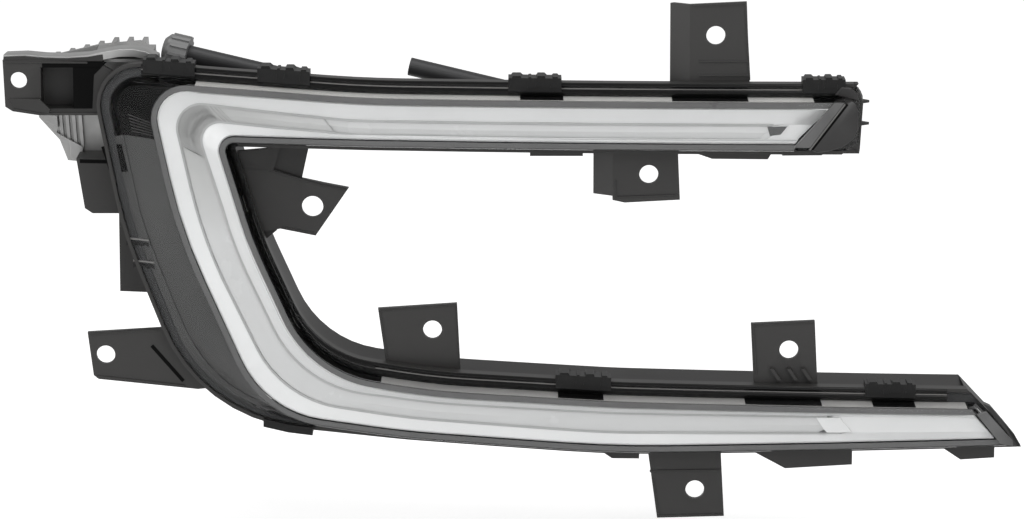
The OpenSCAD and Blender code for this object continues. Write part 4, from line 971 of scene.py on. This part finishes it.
# Painted shade: black lines in the gaps at the lugs of the corner and beside the heat sink below them, and
# black plates over the recess of the corner lug
CORNER_FACE = lug_y(CORNER_LUG_X)
SINK_FLANGE = bow(-124)
gaps = ridge([(-108.6, -9.4), (-96.6, -23.4)], lug_y(LOW_CORNER_LUG_X), 1.3, 0.25)
gaps += ridge([(-127.6, 65.8), (-124.4, 55.6)], SINK_FLANGE + 15.6, 1.2, 0.6)
gaps += ridge([(-136.6, 60), (-126, 59.8)], SINK_FLANGE + 16, 1.4, 0.2)
for outline in (
    [(-137.6, 98.4), (-126.6, 98.4), (-129.6, 95.4), (-130.4, 82.4), (-137.6, 82.4)],
    [(-149.4, 98.3), (-149.4, 100.4), (-124.6, 100.4), (-126.8, 98.3)],
):
    gaps.append(plate_block(outline, CORNER_FACE - 0.12, 0.5))
joined("lug_gap_shade", gaps, M["black"], "housing_plastic")

# Slanted facet under the recess of the corner lug, and the floor of the recess in black, a painted shade
FACET = [(-162.6, 19.9, 86.4), (-150.5, 18.6, 86.2), (-146.4, 18.2, 82.2), (-147, 19.9, 80.2),
         (-160.4, 19.9, 82.2)]
FACET_BACK = 20.6
POCKET = [(-149.8, 98.0), (-137.7, 98.0), (-137.7, 82.6), (-149.8, 82.6)]
mesh_piece("corner_facet", *backed_block(FACET, FACET_BACK), M["housing"], "housing_plastic", 0.2)
mesh_piece("corner_pocket_floor_shade", *plate_block(POCKET, CORNER_FACE + 10.6, 0.5), M["black"],
           "housing_plastic", 0.05)

# Cast brow of the heat sink over the corner lug, on a dark web, and the slats and fins below the lug
BROW = [(-164.2, 103.2), (-156, 103.5), (-148.4, 102.8), (-140, 102.6), (-132, 103.2), (-126, 104.5),
        (-120, 105.6), (-114.6, 105.7), (-110, 104.8), (-105.4, 102.6)]
THIN_SECTIONS = 5
WEB_SECTIONS = 6
SLATS = 4
SLAT_X = -146.6
SLAT_PITCH = 2.6
SLAT_TOP = 79.8
SLAT_LOW = 66
SLAT_RISE = 1.5
SLAT_FRONT = 48.6
SLAT_T = 2.6
FIN_FRONT = 47.4
FIN_T = 4
FIN_OUTLINES = (
    [(-153.3, 75.6), (-146.5, 75.1), (-146.3, 70.4), (-151.6, 73.3)],
    [(-147.2, 68.7), (-142.1, 65.2), (-141.6, 58.3), (-137.1, 56), (-136.7, 62.9)],
)


def brow_section(x, z, drop):
    return [(x, 20.6, z - drop), (x, 20.2, z - 0.4), (x, 21.4, z), (x, 35, z - 0.8), (x, 36, z - 1.4),
            (x, 36, z - drop - 1.8)]


def web_section(x, z):
    return [(x, 20.3, 100.6), (x, 20.3, z - 0.9), (x, 33, z - 1.5), (x, 33, 99.8), (x, 22.8, 99.8)]


lofted("sink_brow", [brow_section(x, z, 1.0 if k < THIN_SECTIONS else 3.4) for k, (x, z) in enumerate(BROW)],
       M["alu"], "cast_aluminium", 0.2)
lofted("sink_brow_web", [web_section(x, z) for x, z in BROW[:WEB_SECTIONS]], M["housing"],
       "housing_plastic", 0.2)
slats = []
for k in range(SLATS):
    x = SLAT_X + k * SLAT_PITCH
    low = SLAT_LOW - k * SLAT_RISE
    outline = [(x, SLAT_TOP), (x + 1.5, SLAT_TOP), (x + 2.6, low), (x + 1.1, low + 1)]
    slats.append(plate_block(outline, SLAT_FRONT, SLAT_T))
slats += [plate_block(outline, FIN_FRONT, FIN_T) for outline in FIN_OUTLINES]
joined("sink_slats", slats, M["alu"], "cast_aluminium", 0.2)

# Light: a world that is white to the camera and dimmer to the lamp, and three soft boxes
WHITE = (1, 1, 1, 1)
WORLD_LIGHT = 0.42
WHITE_THROUGH_LENS = 0.88


def light_world():
    world = bpy.data.worlds.new("world")
    bpy.context.scene.world = world
    world.use_nodes = True
    nt = world.node_tree
    nt.nodes.clear()
    out = nt.nodes.new("ShaderNodeOutputWorld")
    dim = nt.nodes.new("ShaderNodeBackground")
    dim.inputs[0].default_value = WHITE
    dim.inputs[1].default_value = WORLD_LIGHT
    white = nt.nodes.new("ShaderNodeBackground")
    white.inputs[0].default_value = WHITE
    path = nt.nodes.new("ShaderNodeLightPath").outputs
    through = math_node(nt, "MULTIPLY", path["Is Transmission Ray"], WHITE_THROUGH_LENS)
    nt.links.new(math_node(nt, "MAXIMUM", path["Is Camera Ray"], through), white.inputs[1])
    seen = math_node(nt, "MAXIMUM", path["Is Camera Ray"], path["Is Transmission Ray"])
    mix_shaders(nt, seen, dim.outputs[0], white.outputs[0], out.inputs[0])


def softbox(name, place_at, aim, size, power):
    light = bpy.data.lights.new(name, "AREA")
    light.shape = "RECTANGLE"
    light.size, light.size_y = size
    light.energy = power
    obj = bpy.data.objects.new(name, light)
    bpy.context.scene.collection.objects.link(obj)
    obj.location = place_at
    obj.rotation_euler = (Vector(aim) - Vector(place_at)).to_track_quat("-Z", "Y").to_euler()
    obj.visible_transmission = False


light_world()
softbox("top_light", (-0.1, -0.35, 1.5), (0.03, 0, 0.03), (1.6, 1.0), 9)
softbox("front_light", (0.5, -1.6, 0.9), (0.03, 0, 0.03), (1.0, 0.8), 6.5)
softbox("left_light", (-1.4, -0.6, 0.4), (0.0, 0, 0.03), (0.5, 0.9), 4)

# White floor, which glows where the camera sees it, straight or through the lens or in a reflection
FLOOR_GAP = 0.012
FLOOR_CORNERS = ((-6, -4), (6, -4), (6, 8), (-6, 8))


def floor_material():
    mat, nt, bsdf, surface = new_material("floor_white")
    bsdf.inputs["Base Color"].default_value = (0.86, 0.86, 0.86, 1)
    bsdf.inputs["Roughness"].default_value = 0.9
    bsdf.inputs["Specular IOR Level"].default_value = 0.1
    emit = nt.nodes.new("ShaderNodeEmission")
    add = nt.nodes.new("ShaderNodeAddShader")
    path = nt.nodes.new("ShaderNodeLightPath").outputs
    nt.links.new(math_node(nt, "MULTIPLY_ADD", path["Is Camera Ray"], 0.5, 0.1), emit.inputs[1])
    bounced = math_node(nt, "MAXIMUM", path["Is Glossy Ray"], path["Is Transmission Ray"])
    seen = math_node(nt, "MAXIMUM", path["Is Camera Ray"], bounced)
    nt.links.new(bsdf.outputs[0], add.inputs[0])
    nt.links.new(emit.outputs[0], add.inputs[1])
    mix_shaders(nt, seen, bsdf.outputs[0], add.outputs[0], surface)
    return mat


floor = bpy.data.objects.new("floor", bpy.data.meshes.new("floor"))
floor_z = cad_box[0][2] - FLOOR_GAP
floor.data.from_pydata([(x, y, floor_z) for x, y in FLOOR_CORNERS], [], [(0, 1, 2, 3)])
bpy.context.scene.collection.objects.link(floor)
floor.data.materials.append(floor_material())
